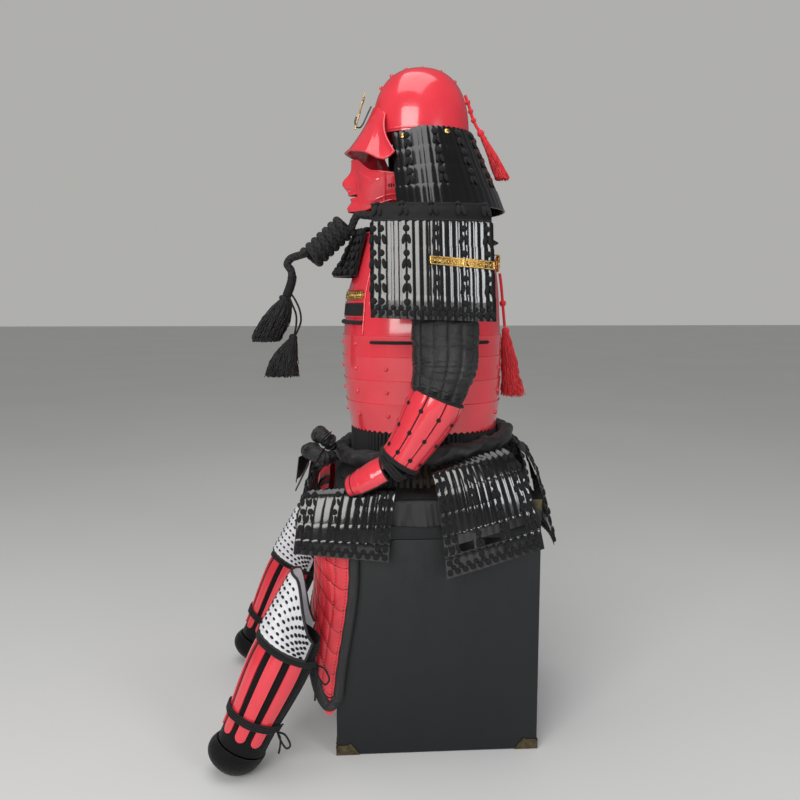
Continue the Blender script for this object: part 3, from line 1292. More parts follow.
def laced_lames(name, skin, lames, scales, columns, side=1, knot=(12.5, 13.0, 7.5),
                foot_knots=True, gaps=None, flute=1.3, lowest=0):
    """A panel of LAMES rows. COLUMNS are the shares of its width where lacing crosses the rows,
    from row LOWEST up, and GAPS a row and the shares where it is open between two slats."""
    plates = Piece(side)
    for k in range(lames):
        low = 0.0 if k == 0 else (k - 0.28) / lames
        spans = [(0.0, 1.0)]
        if gaps and k == gaps[0]:
            edges = [0.0] + [edge for gap in gaps[1] for edge in gap] + [1.0]
            spans = list(zip(edges[::2], edges[1::2]))
            lame(plates, skin, low, low + 0.36 / lames, scales, flute=0.3, scallop=0)
            low += 0.3 / lames
            lame(plates, skin, low + 0.42 / lames, (k + 1) / lames, scales, flute=flute)
        for span in spans:
            lame(plates, skin, low, (k + 1) / lames, scales, span, flute=flute)
    plates.make(name + "_scales", black_lacquer, name, sharp=38)
    knots, ties = Spots(side), Spots(side)
    columns = np.array(columns)
    tie_size = 0.84 * min(1, skin.height / lames / (42 * MM))
    for k in range(lowest, lames):
        knots.on(skin, columns, (k + 0.7) / lames, 3.4 * MM)
        if k > 0 or not foot_knots:
            for lean, shift in ((78, -1), (102, 1)):
                ties.on(skin, columns + shift * 4.6 * MM / skin.width, (k + 0.26) / lames, 3.0 * MM,
                        lean, tie_size)
    if foot_knots:
        for height, start, size in ((0.24, 0.5, 1.0), (0.45, 1.0, 0.85)):
            u = (np.arange(scales) + start) / scales
            knots.on(skin, u[u < 0.99], height / lames, 2.9 * MM, size=size)
    knots.make(name + "_knots", knot_silk, *knot, seed=3)
    ties.make(name + "_ties", knot_silk, 9.5, 23.0, 5.0, seed=4)


# Thigh guards. On the side and back ones three openings in one row are bridged by the lacing.
THREE_GAPS = (1, ((0.16, 0.32), (0.42, 0.58), (0.68, 0.84)))
TASSETS = [
    ("tasset_front", 4, 9, (0.06, 0.14, 0.38, 0.62, 0.86, 0.94), None,
     ((-68, -292, 432), (68, -292, 432), (-62, -236, 574), (62, -236, 574), 0.5, 6)),
    ("tasset_front_side", 4, 11, (0.045, 0.125, 0.38, 0.62, 0.875, 0.955), None,
     ((243, -291, 444), (247, -104, 424), (198, -262, 562), (208, -83, 566), 0.45, 6)),
    ("tasset_side", 5, 13, (0.04, 0.115, 0.37, 0.63, 0.885, 0.96), THREE_GAPS,
     ((250, 12, 388), (247, 208, 446), (204, -20, 600), (184, 134, 638), 0.5, 6)),
    ("tasset_back", 5, 11, (0.045, 0.125, 0.38, 0.62, 0.875, 0.955), THREE_GAPS,
     ((186, 244, 434), (30, 250, 434), (134, 172, 628), (28, 190, 630), 0.5, 5)),
]
for name, lames, scales, columns, gaps, corners in TASSETS:
    skin = Skin(patch(*corners))
    for side, label in ((1, ""),) if name == "tasset_front" else ((1, "_left"), (-1, "_right")):
        laced_lames(name + label, skin, lames, scales, columns, side, gaps=gaps)

# Shoulder guards, each under a bent plate covered in black leather.
GUARD = {"front": -138, "back": 90, "low": 902, "high": 1082, "top": 1117, "x": 306, "curve": 26}


def guard_x(u, z):
    lean = 10 * ((z - GUARD["low"]) / (GUARD["high"] - GUARD["low"]))
    return GUARD["x"] - lean - GUARD["curve"] * (2 * u - 1) ** 2


def guard_face(u, v):
    z = mix(GUARD["low"], GUARD["high"], v) - 4 * (2 * u - 1) * (1 - v)
    y = mix(GUARD["front"], GUARD["back"], u) + mix(8 * u, 0, v)
    return stacked(guard_x(u, z), y, z) * MM


def crown_face(u, v):
    bend = v * math.pi / 2
    z = GUARD["high"] + 0.4 + (GUARD["top"] - GUARD["high"]) * np.sin(bend)
    x = guard_x(u, GUARD["high"]) - 34 * (1 - np.cos(bend)) + 1
    return stacked(x, mix(GUARD["front"] + 2, GUARD["back"] - 2, u), z) * MM


leather = Finish("black_leather", "black_lacquer", specular_ior_level=0.25)
hide = leather.add("ShaderNodeTexVoronoi", inputs={"Vector": leather.place(), "Scale": 700.0})
leather.dress(leather.noise(60, 4), (0.0012, 0.0012, 0.0014), (0.006, 0.006, 0.0065),
              leather.noise(90, 3) * 0.2 + 0.5, hide, 0.0003)

guard_skin, crown_skin = Skin(guard_face), Skin(crown_face)
for side, label in SIDES:
    laced_lames(f"shoulder_guard_{label}", guard_skin, 4, 17,
                (0.03, 0.09, 0.285, 0.52, 0.745, 0.94), side)
    crown = Piece(side)
    wall(crown, crown_skin, 70, 18, 2.6 * MM)
    for v in (0.02, 0.98):
        edge_cord(crown, crown_skin, (0.004, v), (0.996, v), 120, 1.8 * MM, finish=1)
    crown.make(f"shoulder_crown_{label}_leather", leather, f"shoulder_crown_{label}",
               second=fine_braid)
    tied, ties = Spots(side), Spots(side)
    tied.on(crown_skin, (0.05, 0.25, 0.49, 0.715, 0.95), 0.72, 2.4 * MM)
    for lean, shift in ((80, -0.02), (100, 0.02)):
        ties.on(crown_skin, np.array((0.05, 0.26, 0.5, 0.73, 0.95)) + shift, 0.36, 2.0 * MM, lean)
    tied.make(f"shoulder_crown_{label}_knots", knot_silk, 11, 12, 8, seed=5)
    ties.make(f"shoulder_crown_{label}_ties", knot_silk, 9, 24, 6, seed=6)


def bar_face(u, v):
    """A pierced gilt bar for the tie ring lies over the second row near the back edge."""
    across = mix(0.47, 0.985, u)
    along = mix(0.56, 0.65, v) - 0.04 * u
    return guard_face(across, along) + guard_skin.normal(across, along) * 4.4 * MM


bar_skin = Skin(bar_face)
for side, label in SIDES:
    bar = Piece(side)
    for v in (0.1, 0.9):
        edge_cord(bar, bar_skin, (0, v), (1, v), 70, 1.3 * MM, 0.8 * MM)
    for end in (0.0, 0.5, 1.0):
        edge_cord(bar, bar_skin, (end, 0.05), (end, 0.95), 8, 1.7 * MM)
    openwork(f"gilt_bar_{label}", f"gilt_bar_{label}", bar, bar_skin, 40, 14, (0.8, 6.6, 6.6, 0.8),
             (0.9, 3.0, 3.0, 2.2), [((0.0, 1.0), 0.5, 1.8, 1.8)], side, roundness=1)

# The bib under the chin.

def bib_face(u, v):
    half = mix(86, 62, v)
    spread = 2 * u - 1
    y = mix(-212, -160, v) + mix(50, 22, v) * spread * spread
    return stacked(half * spread, y, mix(989, 1090, v)) * MM


laced_lames("throat_guard", Skin(bib_face), 3, 11, (0.07, 0.15, 0.36, 0.64, 0.85, 0.93))

# The neck guard flares from the helmet's rim and is open at the face.
NECK = {"top": 1292, "low": 1128, "lames": 4, "side": 95, "back": 108.5, "front": 112}


def neck_face(u, v):
    angle = np.radians(mix(-36, 216, u))
    flare = 1 - v
    s = np.sin(angle)
    reach = np.where(s < 0, mix(NECK["front"], 122, flare), mix(NECK["back"], 170, flare))
    height = mix(NECK["low"], NECK["top"] - 12 * ease(-2 * s), v)
    return stacked(mix(NECK["side"], 172, flare) * np.cos(angle), mix(-21, -9, flare) + reach * s,
                   height) * MM


neck_skin = Skin(neck_face, edge=0.3)
laced_lames("neck_guard", neck_skin, NECK["lames"], 38,
            (0.065, 0.18, 0.285, 0.39, 0.5, 0.61, 0.715, 0.82, 0.935), knot=(15.0, 16.0, 8.0),
            foot_knots=False, flute=1.2, lowest=1)
studs = Spots()
studs.on(neck_skin, (0.05, 0.235, 0.765, 0.95), 0.93, 3.6 * MM)
studs.make("neck_guard_studs", gilt, 13.0, 13.0, 4.0)
rim = Piece()
edge_cord(rim, neck_skin, (0, 0), (1, 0), 220, 1.7 * MM)
rim.make("neck_guard_rim", black_lacquer)


# --- Arms ---------------------------------------------------------------------------------------
# A sleeve of quilted black satin is sewn in squares of beaded chain stitch. Below the elbow it
# carries long red lacquered splints tied edge to edge, a braided wrist band, a beaded cuff and a
# lacquered plate over the back of the hand.

SLEEVE = [(132, 8, 1084, 46, 31), (178, 8, 1078, 50, 34), (212, 8, 1050, 54, 36),
          (228, 7, 1000, 60, 39), (238, 6, 940, 63, 42), (244, 6, 880, 64, 45),
          (248, 5, 820, 62, 49), (249, -4, 779, 55, 49), (248, -12, 742, 46, 46)]
FOREARM = [(249, -8, 755, 49, 51), (248, -18, 732, 48, 52), (245, -34, 702, 44, 49),
           (241, -52, 671, 39, 44), (237, -70, 643, 36, 40), (234, -84, 624, 35, 39)]
HAND = [(230, -104, 608, 34, 30), (222, -128, 594, 37, 30), (213, -152, 580, 37, 27),
        (203, -176, 568, 32, 22)]


def limb(rows, across=(1, 0, 0)):
    """The skin round a limb, from its lower end up: rows give its middle line and half sizes."""
    rows = np.array(rows[::-1], float) * MM
    across = np.array(across, float)

    def face(u, v, inset=0.0):
        u, v = np.broadcast_arrays(u, v)
        row = catmull(rows, v)
        axis = unit(catmull(rows, np.minimum(1, v + 0.02))[..., :3]
                    - catmull(rows, np.maximum(0, v - 0.02))[..., :3])
        side = unit(across - axis * (axis @ across)[..., None])
        back = np.cross(axis, side)
        angle = (TURN * u)[..., None]
        return (row[..., :3] + side * (row[..., 3:4] - inset) * np.cos(angle)
                + back * (row[..., 4:5] - inset) * np.sin(angle))
    return face


sleeve_skin = Skin(limb(SLEEVE, (0, 1, 0)))
arm_face = limb(FOREARM)
arm_skin = Skin(arm_face)
hand_face = limb(HAND)
hand_skin = Skin(lambda u, v: hand_face(mix(0.48, 1.08, u), v))
rounds, rings = 12, 8
bead_silk = floss("bead_silk", "black_lacing", (0.004, 0.004, 0.005), (0.026, 0.026, 0.03))
cell_s, cell_t = sleeve_skin.width / rounds, sleeve_skin.height / rings


def sleeve_puffs(s, t):
    """Squares swell between the stitches, with a little slack in each."""
    swell = np.abs(np.sin(math.pi * s / cell_s) * np.sin(math.pi * t / cell_t)) ** 0.5
    slack = np.sin(95 * s + 60 * np.sin(31 * t)) * np.sin(75 * t + 3)
    return (4.2 * swell + 1.5 * slack * swell - 1.5) * MM


def splint(piece, face, middle, half, low, high, proud, thick=1.8, tip=0.0):
    """A long narrow plate bent round a limb, its edges turned up a little, its ends rounded."""
    a, b = np.meshgrid(np.linspace(-1, 1, 25), np.linspace(0, 1, 60), indexing="ij")
    end = tip * (1 - np.sqrt(np.clip(1 - a ** 2, 0, 1)))
    v = mix(low + end, high - end, b)
    u = middle + half * a
    skin = Skin(face)
    rim = 1.1 * MM * np.exp(-((1 - np.abs(a)) / 0.09) ** 2)
    crown = 1.6 * MM * (1 - a ** 2)
    base, out = face(u, v), facing(face, u, v, -math.inf, math.inf)
    two_sided(piece, base + out * (proud * MM + rim + crown)[..., None],
              base + out * ((proud - thick) * MM + crown)[..., None],
              stacked(u * skin.width, v * skin.height))


def cuff(piece):
    """Beaded rounds between the wrist and the hand plate."""
    wrist, palm = (np.array(rows[:3]) * MM for rows in (FOREARM[-1], HAND[0]))
    axis = unit(palm - wrist)
    aside = unit(np.array([1.0, 0, 0]) - axis * axis[0])
    angle = np.linspace(0, TURN, 90, endpoint=False)[:, None]
    for share, girth in ((0.25, 34), (0.5, 33), (0.75, 32)):
        route = (mix(wrist, palm, share) + girth * MM * np.cos(angle) * aside
                 + (girth - 2) * MM * np.sin(angle) * np.cross(axis, aside))
        sweep(piece, route, 3.0 * MM, 12, lambda run, a: 0.5 * MM * np.sin(run * 1500), ring=True)


def knuckles(s, t):
    ridge = np.exp(-((t - 0.028) / 0.004) ** 2) + 0.6 * np.exp(-((t - 0.06) / 0.004) ** 2)
    return 0.9 * MM * ridge


for side, label in SIDES:
    sleeve = Piece(side)
    wall(sleeve, sleeve_skin, 193, 177, 2.0 * MM, sleeve_puffs, closed=True)
    sleeve = sleeve.make(f"sleeve_{label}_quilt", satin, f"sleeve_{label}")
    beads = Spots(side)
    for s in np.arange(rounds) * cell_s:
        beads.row(sleeve_skin, (s, 0.003), (s, sleeve_skin.height - 0.003), 5.0 * MM, -0.5 * MM, 90)
    for t in np.arange(1, rings) * cell_t:
        beads.row(sleeve_skin, (0.001, t), (sleeve_skin.width - 0.001, t), 5.0 * MM, -0.5 * MM, 0)
    beads.make(f"sleeve_{label}_chain_stitch", bead_silk, 3.2, 4.8, 3.0, roundness=1, uneven=0.12)

    under = Piece(side)
    wall(under, Skin(lambda u, v: arm_face(u, v, 2.0 * MM)), 97, 40, 1.6 * MM, closed=True)
    under.make(f"forearm_{label}_cloth", satin)
    splints, ties = Piece(side), Spots(side)
    for k in range(5):
        splint(splints, arm_face, -0.245 + 0.115 * k, 0.0525, 0.02, 0.985, 0.4, tip=0.02)
    splints.make(f"forearm_{label}_splints", red_lacquer, f"forearm_guard_{label}")
    for k in range(6):
        ties.on(arm_skin, (-0.3025 + 0.115 * k) % 1.0, (0.2, 0.47, 0.74), 1.6 * MM, 90)
    ties.make(f"forearm_{label}_ties", knot_silk, 9.0, 9.5, 6.0, seed=8)
    bands = Piece(side)
    u = np.linspace(0, 1, 90, endpoint=False)
    for v, tilt, radius, proud in ((0.985, 0, 2.6, 1.0), (0.03, 0.02, 2.4, 2.6),
                                   (0.075, 0.02, 2.4, 2.6)):
        route = (arm_face(u, v + tilt * np.sin(TURN * u))
                 + facing(arm_face, u, np.full(90, v), -math.inf, math.inf) * proud * MM)
        sweep(bands, route, radius * MM, 10, ring=True)
    cuff(bands)
    bands.make(f"wrist_bands_{label}", fine_braid)

    plate, trim, line = Piece(side), Piece(side), Spots(side)
    wall(plate, hand_skin, 90, 70, 1.8 * MM, knuckles)
    plate.make(f"hand_plate_{label}_lacquer", red_lacquer, f"hand_plate_{label}")
    edge = round_edge((0.005, 0.99), (0.005, 0.01), (0.995, 0.01), (0.995, 0.99), (0.005, 0.99),
                      counts=(40, 60, 40, 60))
    sweep(trim, hand_skin.face(*edge[:, apart(edge.T, 0.004)]), 1.7 * MM, 8)
    trim.make(f"hand_plate_{label}_piping", fine_braid)
    line.row(hand_skin, (0.006, 0.014), (hand_skin.width - 0.006, 0.014), 4.6 * MM, 0.6 * MM, 0)
    line.make(f"hand_plate_{label}_stitches", knot_silk, 2.4, 4.2, 1.8, roundness=1)


# --- Helmet -------------------------------------------------------------------------------------
# The bowl is smooth lacquered iron with a row of rivet heads over its crown. The peak flares from
# its front in one sheet and turns back into a wing at each side, its edges rolled. A black hook
# on the peak's root holds a plain hoe-shaped gilt crest.

BOWL = {"half": 90, "depth": 104, "centre": -21, "rim": 1285, "height": 143, "power": 2.5}
VISOR = np.array([(0, 0, 1345, 0, -184, 1251), (0.3, 13, 1344, 42, -174, 1252),
                  (0.6, 27, 1339, 80, -143, 1243), (0.85, 37, 1330, 106, -104, 1219),
                  (1, 42, 1321, 113, -82, 1240)], float)


def bowl_face(u, v):
    up = v * math.pi / 2
    level = np.cos(up) ** (2 / BOWL["power"])
    rise = np.sin(up) ** (2 / BOWL["power"])
    return stacked(BOWL["half"] * level * np.cos(TURN * u),
                   BOWL["centre"] + BOWL["depth"] * level * np.sin(TURN * u),
                   BOWL["rim"] + BOWL["height"] * rise) * MM


def closed_bowl(piece, face, columns, vs, middle, share):
    """A bowl whose inside is its outside drawn towards MIDDLE by a SHARE."""
    outer = face(*np.meshgrid(np.arange(columns) / columns, vs, indexing="ij"))
    two_sided(piece, outer, middle + (outer - middle) * (1 - share),
              np.zeros((columns, len(vs), 2)), wrap=True, capped=True)


bowl = Piece()
closed_bowl(bowl, bowl_face, 120, np.minimum(np.linspace(0, 1, 44), 0.99999),
            np.array([0, BOWL["centre"], BOWL["rim"]]) * MM, 2 / 110)
u = np.arange(160) / 160
sweep(bowl, bowl_face(u, np.full(160, 0.012)), 2.2 * MM, 10, ring=True)
bowl.make("helmet_bowl_lacquer", red_lacquer, "helmet_bowl")


def on_bowl(y):
    """A point over the bowl's middle line and the direction out of it there."""
    share = (y - BOWL["centre"]) / BOWL["depth"]
    rise = (1 - abs(share) ** BOWL["power"]) ** (1 / BOWL["power"])
    point = np.array([0, y, BOWL["rim"] + BOWL["height"] * rise]) * MM
    slope = np.array([0, np.sign(share) * abs(share) ** (BOWL["power"] - 1) / BOWL["depth"],
                      rise ** (BOWL["power"] - 1) / BOWL["height"]])
    return point, unit(slope)


crown_rivets = Spots()
for y in (-104, -82, -52, -17, 21, 51, 74):
    point, out = on_bowl(y)
    crown_rivets.at(point + out * 2.2 * MM, out, (1, 0, 0))
crown_rivets.make("helmet_rivets", red_lacquer, 8.5, 8.5, 8.0, uneven=0.02)


def visor_face(u, v):
    u, v = np.broadcast_arrays(u, v)
    spread = np.abs(2 * u - 1)
    side = np.sign(2 * u - 1)
    row, low, high = (
        np.stack([np.interp(np.clip(spread + d, 0, 1), VISOR[:, 0], VISOR[:, k])
                  for k in range(1, 6)]) for d in (0, -0.08, 0.08))
    turn, top_z, x, y, z = 0.5 * row + 0.25 * (low + high)
    x = row[2]
    level = (1 - ((top_z - BOWL["rim"]) / BOWL["height"]) ** BOWL["power"]) ** (1 / BOWL["power"])
    turn = np.radians(turn)
    top = stacked(side * (BOWL["half"] * level + 3.2) * np.sin(turn),
                  BOWL["centre"] - (BOWL["depth"] * level + 3.2) * np.cos(turn), top_z)
    p = mix(stacked(side * x, y, z), top, v[..., None])
    waist = np.sin(math.pi * v)
    p[..., 1] += 5 * waist - 15 * waist * spread ** 5
    return p * MM


visor_skin = Skin(visor_face, edge=0.02)
visor = Piece()
wall(visor, visor_skin, 161, 50, 2.0 * MM)
route = visor_face(*round_edge((0, 1), (0, 0.005), (1, 0.005), (1, 1), counts=(40, 160, 40)))
sweep(visor, route[apart(route, 0.3 * MM)], 2.4 * MM, 12)
visor.make("helmet_visor_lacquer", red_lacquer, "helmet_visor")


def crest_face(u, v):
    half = mix(7, 22, v ** 1.6) * (1 - 0.25 * ease((v - 0.9) / 0.1))
    ripple = 0.8 * np.sin(16 * v) * v
    return stacked(half * (2 * u - 1), mix(-162, -141, v) + ripple, mix(1301, 1374, v)) * MM


crest_skin = Skin(crest_face)
crest = Piece()
wall(crest, crest_skin, 40, 70, 1.2 * MM)
route = crest_face(*round_edge((0, 0), (0, 1), (1, 1), (1, 0), counts=(50, 40, 50)))
sweep(crest, route[apart(route, 0.2 * MM)], 1.1 * MM, 8)
crest.make("helmet_crest_gilt", gilt, "helmet_crest")
holder = Piece()
hook = np.array([(0, -127, 1350), (0, -135, 1334), (0, -145, 1313), (0, -152, 1306), (0, -159, 1308),
                 (0, -162, 1317), (0, -159, 1328)]) * MM
sweep(holder, smooth_path(hook, 1.5 * MM), 1.7 * MM, 10)
holder.make("helmet_crest_hook", black_lacquer)


# --- Face ---------------------------------------------------------------------------------------
# A lacquered iron half mask, calm and plain, from the bridge of the nose to the chin. Its cheeks
# carry a raised moulding, its mouth is an opening, and a rosette of holes pierces each ear plate.

MASK = {"top": 1236, "foot": 1128, "half": 79, "depth": 84, "centre": -76}


def hill(x, middle, width):
    return np.exp(-((x - middle) / width) ** 2)


def mask_face(u, v):
    angle = np.radians(mix(178, 362, u))
    side = np.abs(2 * u - 1)
    narrow = 1 - 0.36 * (1 - v) ** 1.5
    cheek = 5 * hill(side, 0.42, 0.2) * hill(v, 0.6, 0.25)
    nose = (30 * hill(side, 0, 0.12) * hill(v, 0.55, 0.2)
            + 10 * hill(side, 0, 0.14) * hill(v, 0.95, 0.2))
    chin = 20 * hill(side, 0, 0.3) * hill(v, 0.06, 0.14)
    lips = 7 * hill(side, 0, 0.25) * hill(v, 0.3, 0.1)
    out = cheek + nose + chin + lips
    top = MASK["top"] - 30 * ease((side - 0.12) / 0.5) - 6 * ease((side - 0.6) / 0.4)
    foot = MASK["foot"] + 22 * ease((side - 0.35) / 0.6)
    return stacked((MASK["half"] * narrow + 0.4 * out) * np.cos(angle),
                   MASK["centre"] + (MASK["depth"] + out) * np.sin(angle),
                   mix(foot, top, v)) * MM


def mask_relief(u, v):
    side = np.abs(2 * u - 1)
    fold = hill(side - 0.2 - 0.22 * (0.62 - v), 0, 0.028) * ease((0.66 - v) / 0.1) \
        * ease((v - 0.12) / 0.1)
    cheek_line = hill(v - 0.78 + 0.25 * (side - 0.2) ** 2, 0, 0.035) * ease((side - 0.16) / 0.06) \
        * ease((0.72 - side) / 0.08)
    jaw = hill(v - 0.1 - 0.1 * side, 0, 0.03) * ease((side - 0.3) / 0.1)
    ear = hill(side, 0.79, 0.012)
    nostril = -3.0 * hill(side, 0.075, 0.03) * hill(v, 0.41, 0.035)
    lip = 1.6 * hill(side, 0, 0.19) * (hill(v, 0.335, 0.02) + hill(v, 0.235, 0.025))
    return (1.5 * fold + 1.6 * cheek_line + 1.3 * jaw + 1.5 * ear + nostril + lip) * MM


mask_mesh = Piece()
columns, rows = 181, 121
u, v = np.meshgrid(np.linspace(0, 1, columns), np.linspace(0, 1, rows), indexing="ij")
mask_skin = Skin(mask_face)
surface = mask_face(u, v) + mask_skin.normal(u, v) * mask_relief(u, v)[..., None]
quads, marks = lattice(columns, rows)
centres = surface.reshape(-1, 3)[quads].mean(1)
smile = 1159.5 * MM + 2 * MM * (centres[:, 0] / (24 * MM)) ** 2
mouth = (np.abs(centres[:, 0]) < 23 * MM) & (np.abs(centres[:, 2] - smile) < 2.6 * MM) \
    & (centres[:, 1] < -100 * MM)
places = np.stack([u * mask_skin.width, v * mask_skin.height], -1)
mask_mesh.shell(surface.reshape(-1, 3), [quads[~mouth]],
                [places.reshape(-1, 2)[quads[~mouth]]], closed=False)
mask = mask_mesh.make("face_mask_lacquer", red_lacquer, "face_mask")
solidify = mask.modifiers.new("thickness", "SOLIDIFY")
solidify.thickness = 2.0 * MM
solidify.offset = -1
edges = Piece()
for start, end, count in (((0.002, 0.006), (0.998, 0.006), 260),
                          ((0.002, 0.994), (0.998, 0.994), 260),
                          ((0.003, 0.006), (0.003, 0.994), 50), ((0.997, 0.006), (0.997, 0.994), 50)):
    edge_cord(edges, mask_skin, start, end, count, 1.7 * MM)
edges.make("face_mask_edges", red_lacquer)
dark_hole = Finish("dark_hole", "black_lacquer", specular_ior_level=0.1)
dark_hole.dress(dark_hole.noise(200), (0.001, 0.001, 0.001), (0.004, 0.002, 0.002),
                dark_hole.noise(200) * 0.1 + 0.8)
holes = Spots()
for u_middle in (0.055, 0.945):
    holes.on(mask_skin, u_middle, 0.52, 0.1 * MM, size=1.2)
    for turn in np.linspace(0, TURN, 8, endpoint=False):
        holes.on(mask_skin, u_middle + 6.4 * MM * math.cos(turn) / mask_skin.width,
                 0.52 + 6.4 * MM * math.sin(turn) / mask_skin.height, 0.1 * MM)
holes.make("face_mask_holes", dark_hole, 3.2, 3.2, 1.0, uneven=0.02)


# --- Legs ---------------------------------------------------------------------------------------
# Each shin guard is a velvety black cloth with long red lacquered splints, held by two straps
# and tied behind. Over its top a quilted white knee guard is knotted all over in black, and a
# soft fuzzy toe cover closes its foot.

SHIN = {"x": 255, "y": -399, "z": 60, "lean": math.radians(25.5), "back": -18 * MM}
CALF = np.array([(0, 50, 45), (60, 52, 48), (120, 58, 53), (180, 62, 56), (225, 60, 55),
                 (260, 56, 52)], float)
TOE = np.array([(-2, 53, 48, 0), (-16, 55, 49, 4), (-32, 52, 46, 6), (-46, 42, 38, 6),
                (-56, 24, 24, 5), (-59.4, 0, 0, 4)], float)


def shin_at(along, forward, aside):
    return stacked(SHIN["x"] + aside,
                   SHIN["y"] + along * math.sin(SHIN["lean"]) - forward * math.cos(SHIN["lean"]),
                   SHIN["z"] + along * math.cos(SHIN["lean"]) + forward * math.sin(SHIN["lean"])) * MM


def shin_face(u, v, off=0.0):
    row = catmull(CALF, v)
    angle = np.radians(mix(-248, 68, u))
    return shin_at(row[..., 0], -(row[..., 1] + off) * np.sin(angle),
                   (row[..., 2] + off) * np.cos(angle))


def knee_face(u, v):
    angle = np.radians(mix(-212, 32, u))
    off = np.abs(mix(-122, 122, u)) / 122
    high = mix(366, 268, ease((off - 0.3) / 0.75))
    along = mix(236 - 6 * off, high, v)
    reach = mix(67, 58, v) + 6 * v * ease(off * 1.4 - 0.4)
    return shin_at(along, -reach * np.sin(angle), (reach - 5) * np.cos(angle))


def toe_face(u, v):
    row = catmull(TOE, v)
    angle = -TURN * u
    return shin_at(row[..., 0], row[..., 3] - np.maximum(row[..., 1], 0) * np.sin(angle),
                   np.maximum(row[..., 2], 0) * np.cos(angle))


velvet = Finish("black_velvet", "black_satin", specular_ior_level=0.2, sheen_weight=0.12,
                sheen_roughness=0.35)
pile = velvet.noise(650, 3)
velvet.dress(pile * 0.8 + velvet.noise(50, 3) * 0.4 - 0.1, (0.001, 0.001, 0.0013),
             (0.008, 0.008, 0.0095), pile * 0.1 + 0.85, pile, 0.0016)

white_cloth = Finish("white_quilted_cloth", "white_quilt", specular_ior_level=0.35,
                     sheen_weight=0.2, sheen_roughness=0.5)
across, along = white_cloth.cloth()
weave = (across * 4200.0).sine() * (along * 4200.0).sine()
soil = white_cloth.noise(26, 4)
white_cloth.dress(soil * 1.1 - 0.1, (0.55, 0.55, 0.59), (0.83, 0.83, 0.86), soil * 0.15 + 0.62,
                  weave * 0.3 + white_cloth.noise(160, 3) * 0.5, 0.0007)

shin_skin, knee_skin = Skin(shin_face), Skin(knee_face)
knot_step_s, knot_step_t = 15.5 * MM, 14.5 * MM


def knee_relief(s, t):
    return 1.8 * MM * np.abs(np.cos(math.pi * s / knot_step_s)
                             * np.cos(math.pi * t / knot_step_t)) ** 0.6


def tie_route(rows):
    """A smooth path through rows of along, forward and aside from the shin's middle line."""
    return smooth_path(shin_at(*np.array(rows, float).T), 2.2 * MM)


SHIN_TIE = tie_route([(214, -66, 6), (206, -72, 2), (190, -78, -2), (165, -86, -2), (140, -96, 0)])
BOW_TIES = [[(206, -64, 4), (214, -80, 10), (200, -100, 14), (184, -98, 12), (190, -82, 6),
             (204, -68, 3)],
            [(52, -54, 4), (56, -70, 10), (42, -88, 12), (30, -84, 8), (40, -66, 4), (50, -56, 2)],
            [(50, -55, 0), (38, -66, -6), (20, -74, -10), (4, -78, -10)]]


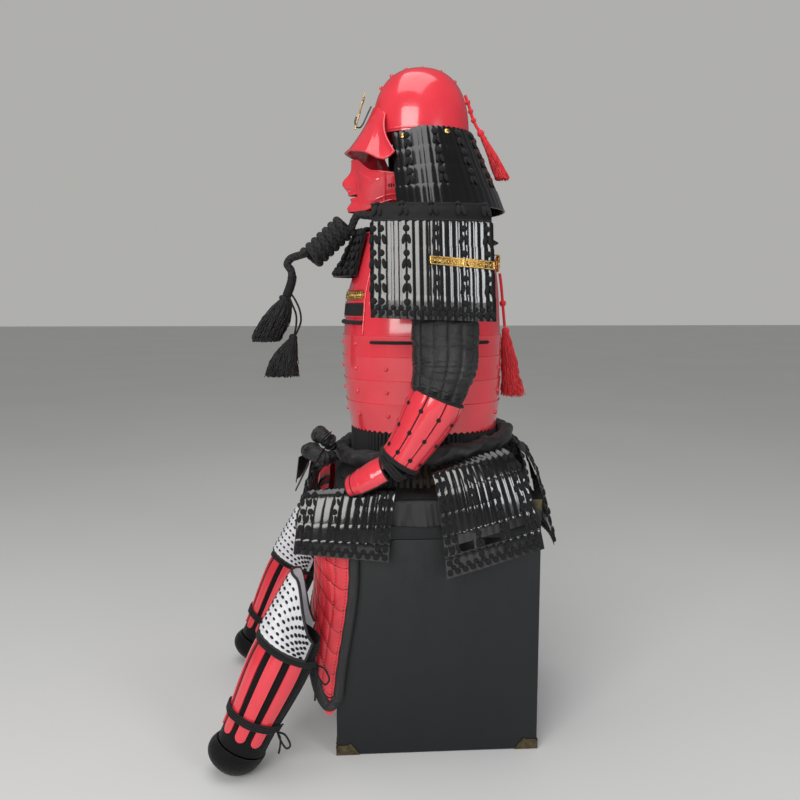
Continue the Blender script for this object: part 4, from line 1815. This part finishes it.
for side, label, back in ((1, "left", 0.0), (-1, "right", SHIN["back"])):
    base = Piece(side, back)
    wall(base, shin_skin, 120, 90, 3.4 * MM,
         lambda s, t: 0.8 * MM * (np.sin(60 * s) * np.sin(48 * t) - 1))
    base.make(f"shin_guard_{label}_cloth", velvet, f"shin_guard_{label}")
    plates = Piece(side, back)
    for k in range(7):
        splint(plates, shin_face, 0.14 + 0.12 * k, 0.038, 0.1, 0.96, 1.5, thick=2.0, tip=0.03)
    plates.make(f"shin_guard_{label}_splints", red_lacquer)
    straps = Piece(side, back)
    u = np.linspace(0.0, 1.0, 110)
    for v, slope in ((0.22, 0.05), (0.8, -0.04)):
        for row in (-1.5, -0.5, 0.5, 1.5):
            height = v + slope * (u - 0.5) + row * 4.0 / 260
            sweep(straps, shin_face(u, height, 5.6 + 0.8 * np.sin(TURN * 7 * u)), 2.3 * MM, 8,
                  squash=0.8)
    for end in (0.0, 1.0):
        v = np.linspace(0.0, 1.0, 80)
        sweep(straps, shin_face(np.full(80, end), v, -1.0), 2.6 * MM, 8)
    straps.make(f"shin_guard_{label}_straps", fine_braid)

    knee = Piece(side, back)
    wall(knee, knee_skin, 170, 90, 2.8 * MM, knee_relief)
    knee = knee.make(f"knee_guard_{label}_quilt", white_cloth, f"knee_guard_{label}")
    knots = Spots(side, back)
    for row in range(1, 9):
        t = row * knot_step_t * 0.98
        for column in range(-12, 13):
            s = knee_skin.width / 2 + (column + 0.5 * (row % 2)) * knot_step_s
            if 6 * MM < s < knee_skin.width - 6 * MM and t < knee_skin.height - 3 * MM:
                u, v = knee_skin.shares(s, t)
                knots.on(knee_skin, u, v, 1.6 * MM, 0)
    knots.make(f"knee_guard_{label}_knots", knot_silk, 5.2, 9.2, 4.4, seed=9, uneven=0.12)
    piping = Piece(side, back)
    route = knee_face(*round_edge((0, 0), (1, 0), (1, 1), (0, 1), counts=(160, 50, 160)))
    sweep(piping, route[apart(route, 0.5 * MM)], 2.9 * MM, 10)
    piping.make(f"knee_guard_{label}_piping", satin)

    toe = Piece(side, back)
    closed_bowl(toe, toe_face, 90, np.linspace(0, 0.995, 50), shin_at(-20.0, 5.0, 0.0), 3 / 50)
    toe.make(f"toe_cover_{label}_fuzz", velvet, f"toe_cover_{label}")

    tie, bows = Piece(side, back), Piece(side, back)
    sweep(tie, SHIN_TIE, 2.1 * MM, 10)
    tie = tie.make(f"shin_tie_{label}_cord", fine_braid, f"shin_tie_{label}")
    tell_cord(tie, SHIN_TIE * (side, 1, 1) + (0, back, 0), 4.2 * MM, "limp", "hanging")
    for rows in BOW_TIES:
        sweep(bows, tie_route(rows), 2.0 * MM, 10)
    bows.make(f"shin_tie_{label}_bows", fine_braid)


# --- Stand --------------------------------------------------------------------------------------
# A plain stand of planed boards on the lid: a foot, a post, a crossbar for the shoulders, a block
# in the mask and one in the helmet.

wood = Finish("stand_wood", "stand_wood", specular_ior_level=0.4)
rings_of_growth = wood.noise(5, 4, (1, 1, 0.08))
stripes = (rings_of_growth * 160.0).sine()
wood.dress(stripes * 0.35 + 0.5, (0.1, 0.058, 0.028), (0.2, 0.12, 0.06),
           rings_of_growth * 0.2 + 0.45, stripes + wood.noise(300, 2, (1, 1, 0.05)), 0.0003)
softened("armour_stand_boards", "armour_stand", wood, 0.0015)


# --- Floor --------------------------------------------------------------------------------------
# A plain pale floor under the chest, which carries on to the horizon in much the same tone.
# Polished surfaces see a darker room than the rest does.

world = bpy.data.worlds.new("room")
bpy.context.scene.world = world
world.use_nodes = True
room = world.node_tree
walls = room.nodes["Background"]
walls.inputs["Color"].default_value = (0.4, 0.405, 0.42, 1)
walls.inputs["Strength"].default_value = 0.33
seen = room.nodes.new("ShaderNodeBackground")
seen.inputs["Color"].default_value = (0.43, 0.427, 0.415, 1)
blend = room.nodes.new("ShaderNodeMixShader")
rays = room.nodes.new("ShaderNodeLightPath")
room.links.new(rays.outputs["Is Glossy Ray"], blend.inputs[0])
room.links.new(seen.outputs[0], blend.inputs[1])
room.links.new(walls.outputs[0], blend.inputs[2])
room.links.new(blend.outputs[0], room.nodes["World Output"].inputs["Surface"])
floor_mesh = bpy.data.meshes.new("floor")
floor_mesh.from_pydata([(-30, -30, -0.0004), (30, -30, -0.0004), (30, 30, -0.0004),
                        (-30, 30, -0.0004)], [], [(0, 1, 2, 3)])
floor = placed("floor", floor_mesh)
pale = Finish("pale_floor", None, specular_ior_level=0.2)
pale.dress(pale.noise(0.8, 3), (0.56, 0.565, 0.57), (0.62, 0.622, 0.622),
           pale.noise(3, 2) * 0.1 + 0.7)
floor_mesh.materials.append(pale.material)
